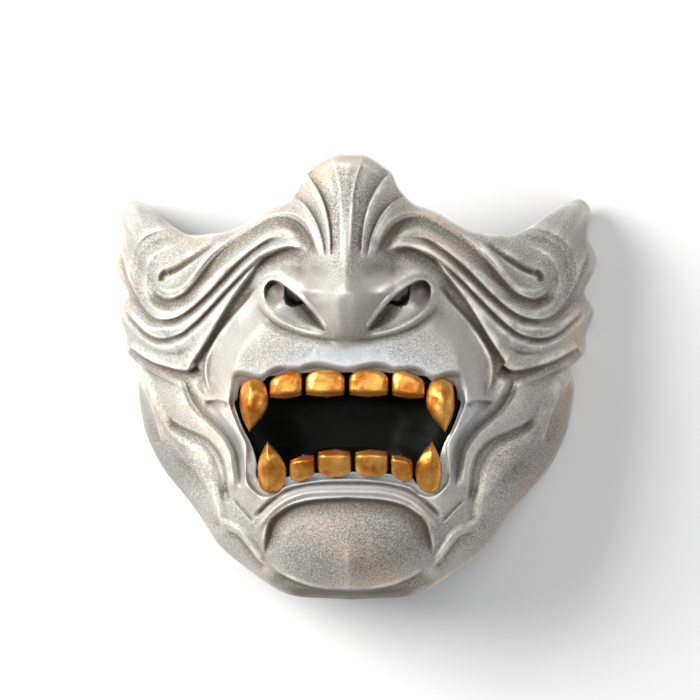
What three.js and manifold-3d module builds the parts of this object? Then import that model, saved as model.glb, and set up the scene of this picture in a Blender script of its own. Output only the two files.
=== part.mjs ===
import * as THREE from "three";
import Module from "manifold-3d";

// A fierce half mask in the samurai manner: nose, cheeks, open mouth and chin, cast as one shell.
// It lies on its rim with the face up. X runs across the face, Y from chin to brow, Z out of the face.
// The origin is the middle of the footprint, at the height of the flat rim. Millimetres.
// The mask is the same left and right, so every curve is given for the half where X is positive.

const WALL = 3.2; // wall at the rim and behind the deepest grooves
const TOP_RIM_DROP = 2.6; // how far the inside stands behind the outside along the raised top edge
const GUM_DEPTH = 3.2; // recess that the teeth stand in, below the lips
const PIECE_GAP = 0.45; // air between neighbouring pieces
const LIP_EDGE = 0.7; // the step from lip to gum begins this far outside the lip line
const LIP_UNDERSIDE = 2.9; // and the upper lip's shaded underside ends this far inside of it
const TOOTH_STAND = 3.9; // front of a flat tooth above the gum
const FANG_STAND = 6.2;
const LINING_GAP = 0.7; // air between the lining and the back of the lips
const LINING_LAP = 3; // how far the black lining reaches behind the mouth edge
const LINING_THICKNESS = 2.4;
const LINING_DISH = 13; // depth of the dish behind the teeth
const LINING_MIDDLE = { y: -18, widened: 1.15 }; // the lining narrows towards this height, as a wide oval
const FRONT_HEIGHT = 84; // height of the front without nose, lips or carving
const MUZZLE_RISE = 5.5; // how far the mouth part stands out
const CHIN_RISE = 6;
const MUZZLE_SLOPE = { drop: 7, above: 13.5, beside: 4.2 }; // fall at the muzzle's edge, and how wide it is
const MUZZLE_SIDE = { corner: 43, slant: 0.34 }; // where the muzzle's front turns into its side
const THINNEST = 2.4;
const NOSTRIL_RECESS = 8;
const NOSTRIL_TOP = 9; // points of the nostril's line that lie along its upper edge
const STEEP_CARVING = 0.35; // the carving is this much flatter where the side falls steeply
const CARVED_EDGE = 1.25; // half width of the sharpest change of level in the carving
const CELL_WIDTH = 1.45; // a survey cell is about this much wider than high
const THINNEST_FACET = 0.5; // a turned triangle is at least this high
const SHARPEST_FACET = 0.07; // and at least this high for its length
const FACE_BUDGET = 3080; // triangles for half of the carved side
const BACK_BUDGET = 620; // triangles for half of the plain inside
const ACROSS = 420; // survey points along half of the rim
const OUTWARD = 190; // survey points from mouth edge to rim

// Half of the silhouette, from the top of the nose bridge round the temple to the middle of the chin.
const RIM_LINE = [[0, 87.9], [6.8, 87.4], [15.2, 82.2], [17.6, 79.4], [19, 76], [21.6, 72.2], [26, 68.4], [34, 65.6],
  [42, 61], [48, 58.4], [56, 57.2], [64, 57], [70, 59.8], [76, 64.2], [82, 69], [90, 72.2], [94, 70], [94.8, 66],
  [93.4, 57.3], [96.2, 52], [97.2, 46.8], [95.5, 42], [92.2, 34.8], [95, 30], [96, 26.2], [93.1, 18], [93, 12],
  [89.8, 7.6], [86.5, 4.6], [87.6, 0], [88.2, -4], [86.9, -14], [84.2, -24], [78, -36], [69.6, -46], [61.4, -56],
  [53.4, -67.2], [40.4, -77.2], [34.6, -81.2], [28.4, -84.8], [20.6, -86.8], [10, -87.4], [0, -87.9]];
// Height of the rim at places along it. It is flat at zero from the temple to the jaw.
const RIM_HEIGHTS = [[0, 87.9, 76], [17.6, 79.4, 74], [26, 68.4, 68], [42, 61, 61], [56, 57.2, 55], [66, 57.5, 46],
  [76, 64.2, 30], [86, 70.9, 13], [92, 72, 6], [94.8, 66, 1], [94, 60, 0], [86, -18, 0], [78, -36, 0], [70, -46, 4],
  [61.4, -56, 12], [53.4, -67.2, 22], [40.4, -77.2, 33], [28.4, -84.8, 42], [20.6, -86.8, 45], [0, -87.9, 46]];
// Half of the edge that the mouth is open inside of, which the teeth cover from the front.
const MOUTH_LINE = [[0, 2.2], [8, 1.8], [16, 2], [24, 1], [30.6, 0.6], [33, -1.2], [38, -2.4], [41.6, -2.8],
  [42.8, -5], [43.2, -8], [44.4, -9.8], [43, -15], [41, -20], [38.4, -24.8], [36.6, -29.6], [35.8, -34], [36, -38.5],
  [33.6, -42.2], [30, -42.6], [27, -41.4], [25, -39.2], [20, -38.2], [14, -37.4], [7, -36.9], [0, -36.7]];
// Places on the rim and the places on the mouth edge that face them.
const FACING = [[[0, 87.9], [0, 2.2]], [[26, 68.4], [20, 1.4]], [[50, 58], [35, -1.8]], [[66, 57.5], [41, -2.7]],
  [[80, 67.4], [43, -6.5]], [[92, 72], [44, -9.4]], [[96.6, 46], [44.2, -11]], [[93, 18], [43.6, -13]], [[86.5, 4.6],
  [42.6, -16]], [[86, -16], [40, -22]], [[78, -36], [36.6, -29.6]], [[66, -50], [36, -38.5]], [[47.4, -72],
  [30, -42.6]], [[28.4, -84.8], [20, -38.2]], [[0, -87.9], [0, -36.7]]];
// Half of the lips: scalloped over the upper teeth, then down beside the fangs and under the lower teeth.
const LIP_LINE = [[0, 4.6], [4, 5.2], [8, 6.1], [12, 6.5], [15.6, 5.9], [18.6, 4.8], [22, 4.9], [26, 5], [29.6, 4],
  [33, 1.8], [35.6, 1.7], [39, 2.7], [43, 3], [45.6, 1.8], [46.8, -2], [46.4, -8], [45.8, -11], [41.6, -21],
  [39.4, -25.6], [39.4, -30], [40, -35.6], [39.2, -41.4], [34, -46.1], [28, -45.6], [24.4, -42.6], [16, -40.8],
  [8, -39.8], [0, -39.5]];
// The mouth part stands out inside of this line.
const MUZZLE_LINE = [[40.6, -36], [43.6, -25], [50.2, -17], [55.6, -6], [56.8, 2], [56.2, 8], [52, 16], [46.5, 23.4],
  [40, 30.6], [30, 39], [16, 45.5], [0, 48]];
const NOSTRIL_LINE = [[33, 33], [32.6, 36], [30.6, 38.2], [27.4, 38.2], [24, 36.4], [19, 32.6], [15.4, 28.8],
  [12, 25], [8.4, 19.8], [8, 18.2], [12, 18.8], [16, 19.8], [21, 21.4], [26, 23.8], [30, 27.4], [32.4, 30.6],
  [33, 33]];
// The canal behind it runs up and in: this far towards the brow for each millimetre that it goes in.
const NOSTRIL_HOLE = { x: 20.4, y: 31, z: 89, long: 5.5, short: 2.3, turn: 0.58, slope: 0.95, sides: 12 };
// Height of the nose above the front, and its half width, at places from below it to the top of the bridge.
const NOSE_HEIGHT = [[12, 0], [15, 1.5], [17.5, 6], [20.5, 11], [24, 15.4], [28, 19], [32, 21.8], [34, 22.2],
  [39, 20.6], [46, 17.6], [54, 14], [62, 11], [72, 8.6], [92, 6]];
const NOSE_WIDTH = [[12, 7], [16, 9], [20, 12], [24, 15], [30, 18.5], [34, 19], [40, 18.5], [46, 18], [54, 18],
  [72, 24], [92, 26]];
const NOSE_WING = { x: 22, y: 33, across: 18, along: 15, rise: 12 };

// The carving. Each row is one cut or ridge that follows a path: height and width on its left side, height and
// width on its right side, how much of the path fades in and out, the half width of the change between the two
// sides, how straight the sides fall, and the path. A plain ridge has the same height on both sides.
const CARVING = {
  channelA: [-3.4, 1.7, -3.4, 5.4, 0.1, 0.08, 0.5, 0.3, [[10.8, 45], [13, 50.4], [15, 55], [18, 59], [22, 61.7],
    [26.4, 62.6], [31, 62], [36, 59.4], [41, 56.4], [46, 53.2], [50.8, 49], [55.6, 43.8], [60.4, 37.8], [65, 33.2],
    [69.6, 30.8], [74, 30.6], [78, 33], [80, 37]]],
  channelEdge: [1.2, 3.2, -0.8, 1.2, 0.15, 0.3, 0.4, 0.6, [[9.6, 44.4], [12, 50.4], [13.6, 55.6], [16.2, 60],
    [20, 63.2], [25, 64.6], [31, 64], [36.8, 61.4], [42, 58.2], [47, 54.8], [52, 50.4], [57, 45.6], [61.6, 39.8],
    [66.4, 36], [69.6, 34.6]]],
  curlRidge: [1.3, 1.5, 1.3, 1.6, 0.15, 0.15, 0.5, 0.3, [[49, 56], [56.8, 47.4], [61, 41.6], [64.4, 37.6],
    [67.4, 35.6], [70.6, 34.6], [74.2, 34.8], [76.8, 37], [77.6, 40.8]]],
  curlRim: [0.8, 1.4, 0.8, 2, 0.15, 0.3, 0.5, 0.3, [[68, 27.4], [74, 26.6], [79.6, 29.4], [82.4, 35], [82.4, 42],
    [79.4, 48], [73, 52], [64, 53.8]]],
  curlPit: [-3, 2, -3, 2, 0.3, 0.3, 0.4, 0.2, [[72.4, 42.4], [74.8, 40.8], [75.4, 37.8]]],
  teardrop: [-2.8, 2.6, -2.8, 1.2, 0.3, 0.1, 0.5, 0.2, [[50.6, 55.4], [57.4, 50.4], [63.6, 46], [69.4, 42.6],
    [74, 41]]],
  ringStep: [-1, 4, 1.2, 6, 0.15, 0.15, 0.8, 0.5, [[85, 30], [89, 37], [89.2, 44], [87, 51], [82, 56.4], [75, 59.2],
    [67, 59.4], [59, 58.4]]],
  ringTrough: [-1.4, 4, -1.4, 2.4, 0.2, 0.25, 0.6, 0.4, [[80, 25.4], [84.2, 30.4], [86.2, 37], [85.8, 44], [83, 50],
    [78, 54.4], [70, 56], [61, 56.4]]],
  ridgeB: [1, 1.4, 1, 3.6, 0.12, 0.2, 0.5, 0.3, [[18, 54.5], [24.6, 58.2], [30, 57.6], [36, 54.2], [41.5, 50],
    [46.5, 46], [51.5, 42], [56.5, 38], [61.5, 34], [66.6, 31]]],
  grooveB: [-3.1, 1.1, -3.1, 3, 0.12, 0.1, 0.5, 0.4, [[22, 54.6], [30, 54.2], [36.5, 50.6], [41.5, 46.8],
    [46.5, 42.4], [51.5, 37.2], [56.5, 32.2], [61.5, 27.8], [66.5, 24.4], [71.5, 22.8], [76.5, 22.8], [81, 25],
    [84.6, 28.8], [87.6, 33.6], [90, 38.6], [92, 44], [93.8, 49.6], [94.8, 54.6]]],
  ridgeC: [1, 1, 1, 2, 0.12, 0.1, 0.5, 0.3, [[24, 52], [30, 51.6], [36.5, 47.6], [41.5, 43.6], [46.5, 39],
    [51.5, 33.6], [56.5, 28.8], [61.5, 24.6], [66.5, 21.2], [71.5, 19.7], [76.5, 19.6], [81.5, 20.8], [86.5, 24.6],
    [90, 29], [93, 34]]],
  grooveC: [-2.8, 1, -2.8, 2.2, 0.12, 0.1, 0.5, 0.4, [[26, 50.4], [31, 48.8], [36.5, 45], [41.5, 40.8], [46.5, 35.8],
    [51.5, 30.6], [56.5, 25.4], [61.5, 20.8], [66.5, 17.2], [71.5, 15.6], [76.5, 15.3], [81.5, 17.2], [86.5, 21.2],
    [90.5, 25.4], [93.2, 29.6]]],
  ridgeD: [0.9, 0.9, 0.9, 2.4, 0.12, 0.1, 0.5, 0.3, [[31, 46.4], [36.5, 42.8], [41.5, 38.6], [46.5, 33.4], [51.5, 28],
    [56.5, 22.8], [61.5, 18.2], [66.5, 14.4], [71.5, 13], [76.5, 12.8], [81.5, 14.6], [86, 17.2], [91, 21]]],
  grooveD: [-1.2, 1.6, -1.2, 1.8, 0.3, 0.15, 0.5, 0, [[58, 14.6], [66, 10.4], [72, 9.6], [78, 10.8], [84, 14],
    [89.6, 18]]],
  flapEdge: [2, 6, -2.4, 3.6, 0.08, 0.08, 0.6, 0.4, [[16, 50], [24, 51.2], [32, 47.8], [36, 44.2], [44, 33.6],
    [48, 27.8], [56, 14.6], [60, 8.6], [64, 2.4]]],
  flapTrough: [-1.5, 4.4, -1.5, 4.4, 0.15, 0.1, 0.5, 0, [[18, 50], [26, 48], [33, 42.4], [39, 34.8], [51, 19.6],
    [57, 11], [60.4, 4], [61, -2]]],
  flapFoot: [2.8, 6, -4.6, 5.4, 0.04, 0.04, 0.5, 0.5, [[60, 5.4], [63.6, 3], [67, 3], [72, 4.2], [80, 6.8],
    [90.4, 12.8]]],
  muzzleEdge: [2, 7, -2.4, 4, 0.15, 0.15, 0.7, 0.6, [[54, -8], [56, -2.6], [56.8, 2], [56.2, 8], [52, 16],
    [46.5, 23.4], [40, 30.6], [34.6, 37.2]]],
  muzzleFoot: [-2.2, 6, 0.7, 3, 0.2, 0.2, 0.7, 0.4, [[57.4, -9], [54, -9], [50.6, -8.8], [47.6, -9.8], [45.4, -12]]],
  frameEdge: [-0.8, 2, 1.6, 4, 0.15, 0.2, 0.7, 0.6, [[52.6, -11.4], [48.4, -16.4], [44, -22.2], [41.2, -28.8],
    [40.4, -36], [40, -42]]],
  mouthBead: [1.4, 3.2, 1, 3, 0.15, 0.15, 0.5, 0.1, [[47, -9], [42.4, -20], [40, -25], [39.4, -30], [40, -36],
    [38.6, -42], [34, -46]]],
  cheekCrest: [1.8, 2, 1.8, 3, 0.2, 0.3, 0.5, 0.6, [[62.4, 0.6], [59.6, -6], [55.6, -12.4]]],
  cheekGroove: [-2, 1.2, -2.4, 3, 0.1, 0.12, 0.5, 0.5, [[65.4, 1.4], [62.6, -6.6], [58.4, -12.8], [52.8, -17.8],
    [48, -22.6], [44.6, -28.4], [43.2, -36], [42, -44]]],
  cheekFold: [2.8, 7, 2.8, 1.5, 0.1, 0.12, 0.5, 0.8, [[68.2, 1], [65.6, -7], [61.4, -13.6], [55, -19], [50, -24],
    [46.8, -29.6], [45.6, -37], [44.6, -45]]],
  jawFold: [4.2, 6.6, 4, 3.4, 0.06, 0.08, 0.5, 0.7, [[88.4, 8], [84.6, 2], [81, -4.4], [77.6, -11.6], [73.6, -19.2],
    [67, -25.4], [59.6, -29], [55.4, -34.6], [53.4, -43], [52, -51], [51, -59]]],
  jawFoldFoot: [1.2, 4, -2.8, 7, 0.12, 0.2, 0.6, 0.6, [[76, -27], [79, -16], [82.4, -8], [86, -2], [89, 4]]],
  sweepGroove: [-2.8, 3.4, -2.8, 1.5, 0.1, 0.12, 0.5, 0.5, [[73, -15], [70, -18.4], [63.6, -21.4], [56.4, -24.6],
    [51.6, -29.4], [49.2, -35.6], [48.2, -43.6], [47, -50]]],
  leafOuter: [0.8, 5, -2.4, 9, 0.08, 0.2, 1.2, 0.7, [[51, -61], [52, -52], [55.2, -45], [60, -38.6], [66.4, -33],
    [73, -29]]],
  lowerLeaf: [2.2, 2.6, 2.2, 2, 0.15, 0.15, 0.5, 0.5, [[52, -57], [49.4, -56.8], [41.4, -61.4], [33.4, -73]]],
  lowerLeafFoot: [1, 3, -2.6, 6, 0.12, 0.2, 0.6, 0.4, [[32, -75], [35.6, -72], [42, -63.6], [46, -61], [50.6, -60]]],
  lipGroove: [-2.4, 1.6, -2.4, 1.3, 0, 0.12, 0.5, 0.2, [[0, -41.4], [8, -41.5], [16, -42.2], [24.4, -44.6],
    [31, -49.2], [37.4, -55.4]]],
  lipRidge: [1.8, 1.9, 1.8, 2, 0, 0.15, 0.5, 0.1, [[0, -44.4], [14, -44.9], [22.4, -47.2], [28.6, -51.2],
    [33.4, -56.4], [35.8, -61]]],
  chinTop: [0.8, 2.5, -4.2, 8, 0, 0.25, 0.7, 0.4, [[0, -47.2], [13, -48], [21, -49.8], [26.6, -52.8], [31, -57.4],
    [33, -67.2], [32, -72]]],
  chinHem: [0.9, 3, -7, 30, 0, 0.3, 0.5, 1, [[0, -83.6], [8, -83.3], [16, -81.8], [22, -79.6], [27, -77],
    [31, -73.6]]],
  lipCorner: [-1.4, 1, -1.4, 1.4, 0.2, 0.2, 0.5, 0.3, [[45.6, -47.4], [42.4, -50.6], [39.4, -53.8], [36.6, -57]]],
  wingCrest: [2.2, 5, 1.8, 2.6, 0.25, 0.2, 0.5, 0.3, [[11, 31], [17, 35.4], [22.4, 38.8], [27, 40.8], [31.4, 40.6],
    [34.8, 37.6], [35, 33]]],
  wingCrease: [-1.5, 4, -1.5, 3.4, 0.2, 0.2, 0.5, 0, [[12, 47.6], [18, 48], [26, 48.4], [33, 45], [38, 39]]],
  noseEdge: [1.4, 0.9, 1.2, 2.4, 0.15, 0.2, 0.5, 0.3, [[7.2, 18.6], [11, 24.8], [14.4, 29], [18, 33]]],
  nostrilRim: [0.6, 1.2, 1.6, 2, 0.15, 0.15, 0.5, 0.3, [[8, 17.4], [12, 17.8], [16.4, 18.8], [21.4, 20.4],
    [26.6, 22.9], [31, 26.8], [33.6, 30.6]]],
  nostrilFoot: [-1.6, 1.6, -1.2, 3, 0.2, 0.2, 0.5, 0.2, [[0, 14], [8, 14.6], [17, 16.2], [22.6, 17.9], [28.4, 20.9],
    [33.4, 25.6], [36.4, 31]]],
  ridgeSide: [-0.5, 3, 0.9, 1.6, 0.04, 0.25, 0.4, 0.6, [[6.6, 87], [5.2, 82], [3.8, 77], [3, 72], [2.7, 66],
    [2.4, 58], [2.2, 50], [2.2, 44]]],
  fluteInner: [0.9, 3.6, -2.3, 6, 0.04, 0.2, 0.45, 0.75, [[16.6, 81], [12.6, 75.6], [9.6, 70], [7.9, 65], [6.7, 59.4],
    [6, 52], [6, 45]]],
  fluteGroove: [0.4, 1.4, -1.9, 5.4, 0.06, 0.15, 0.4, 0.75, [[23, 72.4], [20, 70.4], [16.4, 67.6], [13.6, 64],
    [11.2, 59.4], [9.2, 53.4], [8.2, 46]]],
  fluteOuter: [0.8, 1.8, 0.9, 1.2, 0.1, 0.2, 0.4, 0.4, [[25.4, 71], [21.6, 68.8], [17.6, 65.8], [14.6, 62],
    [12.2, 57.4], [10.2, 51], [9, 46]]],
};
const CHIN_KEEL = { rise: 1.1, halfWidth: 6, top: -58, fade: 14 };

// The teeth. Each form is a row of sections: share of the way to the bite, width and height there. The sizes
// are the right and left place across, root end, biting end, the root's arch, the tilt, the root's own slant,
// how far the biting end leans outward and how far the belly of a fang lies inward.
const FLAT = [[0, 0.82, 0.5], [0.1, 0.95, 0.86], [0.4, 1, 1], [0.79, 0.99, 0.96], [1, 0.95, 0.42]];
const FANG = [[0, 0.6, 0.4], [0.08, 0.82, 0.7], [0.24, 0.96, 0.94], [0.45, 1, 1], [0.66, 0.82, 0.88],
  [0.86, 0.46, 0.62], [1, 0.12, 0.3]];
const flatTooth = (right, left, sizes) =>
  ({ right, left, tilt: 0, slant: 0, lean: 0, belly: 0, stand: TOOTH_STAND, form: FLAT, ...sizes });
const fangTooth = (right, left, sizes) =>
  ({ right, left, tilt: 0, slant: 0, arch: 0.6, belly: 0.9, form: FANG, ...sizes });
const TEETH = {
  upper_inner: flatTooth([0.8, 16.2], [0.8, 16.2], { root: 3.2, bite: -7.4, arch: 1.9 }),
  upper_outer: flatTooth([17.6, 30.4], [17.6, 30.4], { root: 2, bite: -8, arch: 1.3, tilt: 0.4, slant: 1 }),
  upper_fang: fangTooth([31.2, 42.4], [31.2, 42.6], { root: -0.6, bite: -20.8, lean: 1.4, stand: FANG_STAND }),
  lower_inner: flatTooth([3.1, 16], [-1.6, 11.5], { root: -38.8, bite: -28.2, arch: 1.4 }),
  lower_outer: flatTooth([17.1, 25.7], [12.8, 22.6], { root: -40.2, bite: -30.6, arch: 1.2, tilt: 1 }),
  lower_fang: fangTooth([27, 37.4], [24.4, 35.8], { root: -44.6, bite: -25.2, lean: 1, stand: FANG_STAND - 1 }),
};
const ARCH_POWER = 3.5; // how square the corners at the root are
const BITE_BOW = 0.7; // the middle of the biting edge stands this far out
const TOOTH_FACETS = 7; // points over the front of a tooth

const silverPearl = () => new THREE.MeshStandardMaterial({ color: 0xc9c7c1, roughness: 0.55, metalness: 0.25 });
const goldPaint = () => new THREE.MeshStandardMaterial({ color: 0xc8912f, roughness: 0.35, metalness: 0.6 });
const blackGloss = () => new THREE.MeshStandardMaterial({ color: 0x0b0c0c, roughness: 0.3, metalness: 0 });

const clamp01 = (value) => Math.min(1, Math.max(0, value));
const ease = (value) => {
  const t = clamp01(value);
  return t * t * (3 - 2 * t);
};
const mix = (a, b, share) => a + (b - a) * share;

// A smooth line through the given points.
function smoothLine(points, steps = 6) {
  const last = points.length - 1;
  const beyond = (end, next) => end.map((value, k) => 2 * value - next[k]);
  const padded = [beyond(points[0], points[1]), ...points, beyond(points[last], points[last - 1])];
  const line = [];
  for (let i = 0; i < last; i++) {
    const [a, b, c, d] = padded.slice(i, i + 4);
    for (let step = 0; step < steps; step++) {
      const t = step / steps;
      const at = (k) => 0.5 * (2 * b[k] + (c[k] - a[k]) * t + (2 * a[k] - 5 * b[k] + 4 * c[k] - d[k]) * t * t
        + (3 * b[k] - a[k] - 3 * c[k] + d[k]) * t * t * t);
      line.push([at(0), at(1)]);
    }
  }
  line.push(points[last].slice(0, 2));
  return line;
}

function lengthsAlong(line) {
  const lengths = [0];
  for (let i = 1; i < line.length; i++) {
    lengths.push(lengths[i - 1] + Math.hypot(line[i][0] - line[i - 1][0], line[i][1] - line[i - 1][1]));
  }
  return lengths;
}

// Straight reading of a table whose keys rise.
function read(keys, values, key) {
  if (key <= keys[0]) return values[0];
  const last = keys.length - 1;
  if (key >= keys[last]) return values[last];
  let low = 0;
  let high = last;
  while (high - low > 1) {
    const middle = (low + high) >> 1;
    if (keys[middle] <= key) low = middle;
    else high = middle;
  }
  return mix(values[low], values[high], (key - keys[low]) / (keys[high] - keys[low] || 1));
}

// Distance from a line, positive on its left, and the share of its length at the nearest place.
function locate(x, y, line) {
  let best = Infinity;
  let side = 1;
  let along = 0;
  for (let i = 0; i < line.points.length - 1; i++) {
    const [ax, ay] = line.points[i];
    const ex = line.points[i + 1][0] - ax;
    const ey = line.points[i + 1][1] - ay;
    const t = clamp01(((x - ax) * ex + (y - ay) * ey) / (ex * ex + ey * ey + 1e-12));
    const distance = (x - ax - t * ex) ** 2 + (y - ay - t * ey) ** 2;
    if (distance < best - 1e-9) {
      best = distance;
      side = ex * (y - ay) - ey * (x - ax) >= 0 ? 1 : -1;
      along = mix(line.lengths[i], line.lengths[i + 1], t);
    }
  }
  return { distance: Math.sqrt(best) * side, share: along / line.lengths.at(-1) };
}

function prepared(points, steps) {
  const line = smoothLine(points, steps);
  const xs = line.map((p) => p[0]);
  const ys = line.map((p) => p[1]);
  const box = [Math.min(...xs), Math.max(...xs), Math.min(...ys), Math.max(...ys)];
  return { points: line, lengths: lengthsAlong(line), box };
}

function isInside(x, y, line) {
  let inside = false;
  const points = line.points;
  for (let i = 0, j = points.length - 1; i < points.length; j = i++) {
    const [x1, y1] = points[j];
    const [x2, y2] = points[i];
    if ((y1 > y) !== (y2 > y) && x < ((x2 - x1) * (y - y1)) / (y2 - y1) + x1) inside = !inside;
  }
  return inside;
}

const lip = prepared(LIP_LINE, 5);
const muzzle = prepared(MUZZLE_LINE, 6);
const nostril = prepared(NOSTRIL_LINE, 4);
const partOf = (line, from, to) => ({ points: line.points.slice(from, to), lengths: line.lengths.slice(from, to) });
const nostrilTop = partOf(nostril, 0, NOSTRIL_TOP * 4 + 1);
const nostrilFoot = partOf(nostril, NOSTRIL_TOP * 4 + 1);
const cuts = Object.values(CARVING).map((row) => ({ row, line: prepared(row[8], 6) }));
const noseHeight = smoothLine(NOSE_HEIGHT, 5);
const noseWidth = smoothLine(NOSE_WIDTH, 5);
const readCurve = (curve, key) => read(curve.map((p) => p[0]), curve.map((p) => p[1]), key);
const noseRows = new Map();

// The plain domed front that the mouth is set in. The gums and teeth follow it.
function mouthFront(x, y) {
  const across = Math.abs(x) / 90;
  const up = Math.max(0, (y - 10) / 80);
  const down = Math.max(0, (-y - 30) / 60);
  const dome = FRONT_HEIGHT - 20 * across ** 2.1 - 5 * up * up - 4 * down * down;
  return dome + MUZZLE_RISE * ease((y + 44) / 16);
}

// The front with its large forms: muzzle plate, hollow temples, chin.
function front(x, y) {
  const ax = Math.abs(x);
  const { distance } = locate(ax, y, muzzle);
  const fade = ease((y + 44) / 16);
  const width = mix(MUZZLE_SLOPE.beside, MUZZLE_SLOPE.above, ease((y + 14) / 16));
  const risen = mix(ease((distance + 0.5) / width), 1, ease((y - 36) / 14));
  const plate = fade * MUZZLE_SLOPE.drop * (risen - 1);
  const window = ease((y + 12) / 10) * ease((42 - y) / 16) * ease((distance + 0.5) / 3);
  const side = -MUZZLE_SIDE.slant * Math.max(0, ax - MUZZLE_SIDE.corner) * window;
  const temple = -7 * Math.exp(-(((ax - 70) / 22) ** 2 + ((y - 46) / 20) ** 2));
  const chin = CHIN_RISE * (1 - ease((Math.hypot(ax / 37, (y + 66) / 25) - 0.1) / 0.95));
  return mouthFront(x, y) + plate + side + temple + chin;
}

function nose(x, y) {
  if (y <= 12) return 0;
  const key = y.toFixed(3);
  if (!noseRows.has(key)) noseRows.set(key, [readCurve(noseHeight, y), readCurve(noseWidth, y)]);
  const [rise, width] = noseRows.get(key);
  const ax = Math.abs(x);
  const side = clamp01(ax / width);
  const roof = ease((y - 30) / 4) * (1 - 0.8 * ease((y - 42) / 16));
  const under = ease((37 - y) / 9);
  const ridged = mix(ease(side), Math.sqrt(side * side + 0.006) - 0.075, 0.75 * roof);
  const ridge = rise * (1 - Math.min(1, mix(ridged, ease((side - 0.12) / 0.88), under)));
  const wing = Math.hypot((ax - NOSE_WING.x) / NOSE_WING.across, (y - NOSE_WING.y) / NOSE_WING.along);
  return ridge + NOSE_WING.rise * (0.5 + 0.5 * Math.cos(Math.PI * clamp01(wing)));
}

function carving(x, y) {
  const ax = Math.abs(x);
  let height = 0;
  for (const { row, line } of cuts) {
    const [leftHeight, leftWidth, rightHeight, rightWidth, fadeIn, fadeOut, edge, straight] = row;
    const reach = Math.max(leftWidth, rightWidth) + 1;
    const [x0, x1, y0, y1] = line.box;
    if (ax < x0 - reach || ax > x1 + reach || y < y0 - reach || y > y1 + reach) continue;
    const { distance, share } = locate(ax, y, line);
    const fall = (value) => {
      const t = clamp01(value);
      return (1 - straight) * (0.5 + 0.5 * Math.cos(Math.PI * t)) + straight * (1 - t);
    };
    const left = ease((distance / Math.max(edge, CARVED_EDGE)) * 0.5 + 0.5);
    let cut = left * leftHeight * fall(distance / leftWidth);
    cut += (1 - left) * rightHeight * fall(-distance / rightWidth);
    if (fadeIn > 0) cut *= ease(share / fadeIn);
    if (fadeOut > 0) cut *= ease((1 - share) / fadeOut);
    height += cut;
  }
  if (isInside(ax, y, nostril)) {
    const fromTop = Math.abs(locate(ax, y, nostrilTop).distance);
    const fromFoot = Math.abs(locate(ax, y, nostrilFoot).distance);
    const slope = fromFoot / (fromFoot + fromTop + 0.4);
    height -= NOSTRIL_RECESS * ease(fromTop / 1.2) * ease(slope * 1.15);
  }
  const keel = CHIN_KEEL;
  return height + keel.rise * clamp01(1 - ax / keel.halfWidth) * ease((keel.top - y) / keel.fade);
}

// How far inside the lips a place lies: one on the gums, zero on the face.
function gumShare(x, y) {
  const ax = Math.abs(x);
  const distance = Math.abs(locate(ax, y, lip).distance) * (isInside(ax, y, lip) ? 1 : -1);
  const underside = mix(LIP_EDGE, LIP_UNDERSIDE, ease((y + 12) / 10));
  return ease((distance + LIP_EDGE) / (LIP_EDGE + underside));
}

const rim = prepared(RIM_LINE, 10);
const mouth = prepared(MOUTH_LINE, 10);
const lengthAt = (line, place) => {
  const gaps = line.points.map((p) => Math.hypot(p[0] - place[0], p[1] - place[1]));
  return line.lengths[gaps.indexOf(Math.min(...gaps))];
};
const facingRim = FACING.map((pair) => lengthAt(rim, pair[0]));
const facingMouth = FACING.map((pair) => lengthAt(mouth, pair[1]));
const rimKeys = RIM_HEIGHTS.map((place) => lengthAt(rim, place));
const rimValues = RIM_HEIGHTS.map((place) => place[2]);
const pointAt = (line, length) => [0, 1].map((k) => read(line.lengths, line.points.map((p) => p[k]), length));

// The spoke that runs from the mouth edge to the rim at a share of the rim's length.
function spoke(share) {
  const along = share * rim.lengths.at(-1);
  const outer = pointAt(rim, along);
  const ahead = pointAt(rim, Math.min(along + 0.6, rim.lengths.at(-1)));
  const behind = pointAt(rim, Math.max(along - 0.6, 0));
  const run = Math.hypot(ahead[0] - behind[0], ahead[1] - behind[1]);
  const inward = [(ahead[1] - behind[1]) / run, -(ahead[0] - behind[0]) / run];
  const inner = [outer[0] + inward[0] * WALL, outer[1] + inward[1] * WALL];
  const height = read(rimKeys, rimValues, along);
  const roundness = read([0, 0.2, 0.7, 0.9, 1], [3.4, 3, 3, 6, 12], share);
  const start = pointAt(mouth, read(facingRim, facingMouth, along));
  if (share === 0 || share === 1) start[0] = outer[0] = inner[0] = 0;
  return { start, outer, inner, height, roundness };
}

// How much of the front's height is left on the way to the rim: one at the mouth, zero at the rim.
function rollOff(t, roundness) {
  const near = 0.4;
  const reach = near + (1 - near) * t;
  return Math.sqrt(Math.max(0, (1 - reach ** roundness) / (1 - near ** roundness)));
}

// Survey both sides of the wall on a grid of spokes.
function survey() {
  const face = [];
  const depth = [];
  const spokes = [];
  for (let i = 0; i <= ACROSS; i++) {
    const line = spoke(i / ACROSS);
    spokes.push(line);
    face.push([]);
    depth.push([]);
    for (let j = 0; j <= OUTWARD; j++) {
      const t = j / OUTWARD;
      const x = mix(line.start[0], line.outer[0], t);
      const y = mix(line.start[1], line.outer[1], t);
      const left = rollOff(t, line.roundness);
      const cut = carving(x, y) * mix(STEEP_CARVING, 1, ease((left - 0.25) / 0.5));
      const high = line.height + (front(x, y) - line.height) * left;
      const gum = gumShare(x, y);
      const skin = high + nose(x, y) * ease((1 - t) / 0.05) + cut;
      face[i].push([x, y, t === 1 ? line.height : mix(skin, mouthFront(x, y) - GUM_DEPTH, gum)]);
      depth[i].push(Math.min(0, cut));
    }
  }
  return { face, depth, spokes };
}

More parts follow.
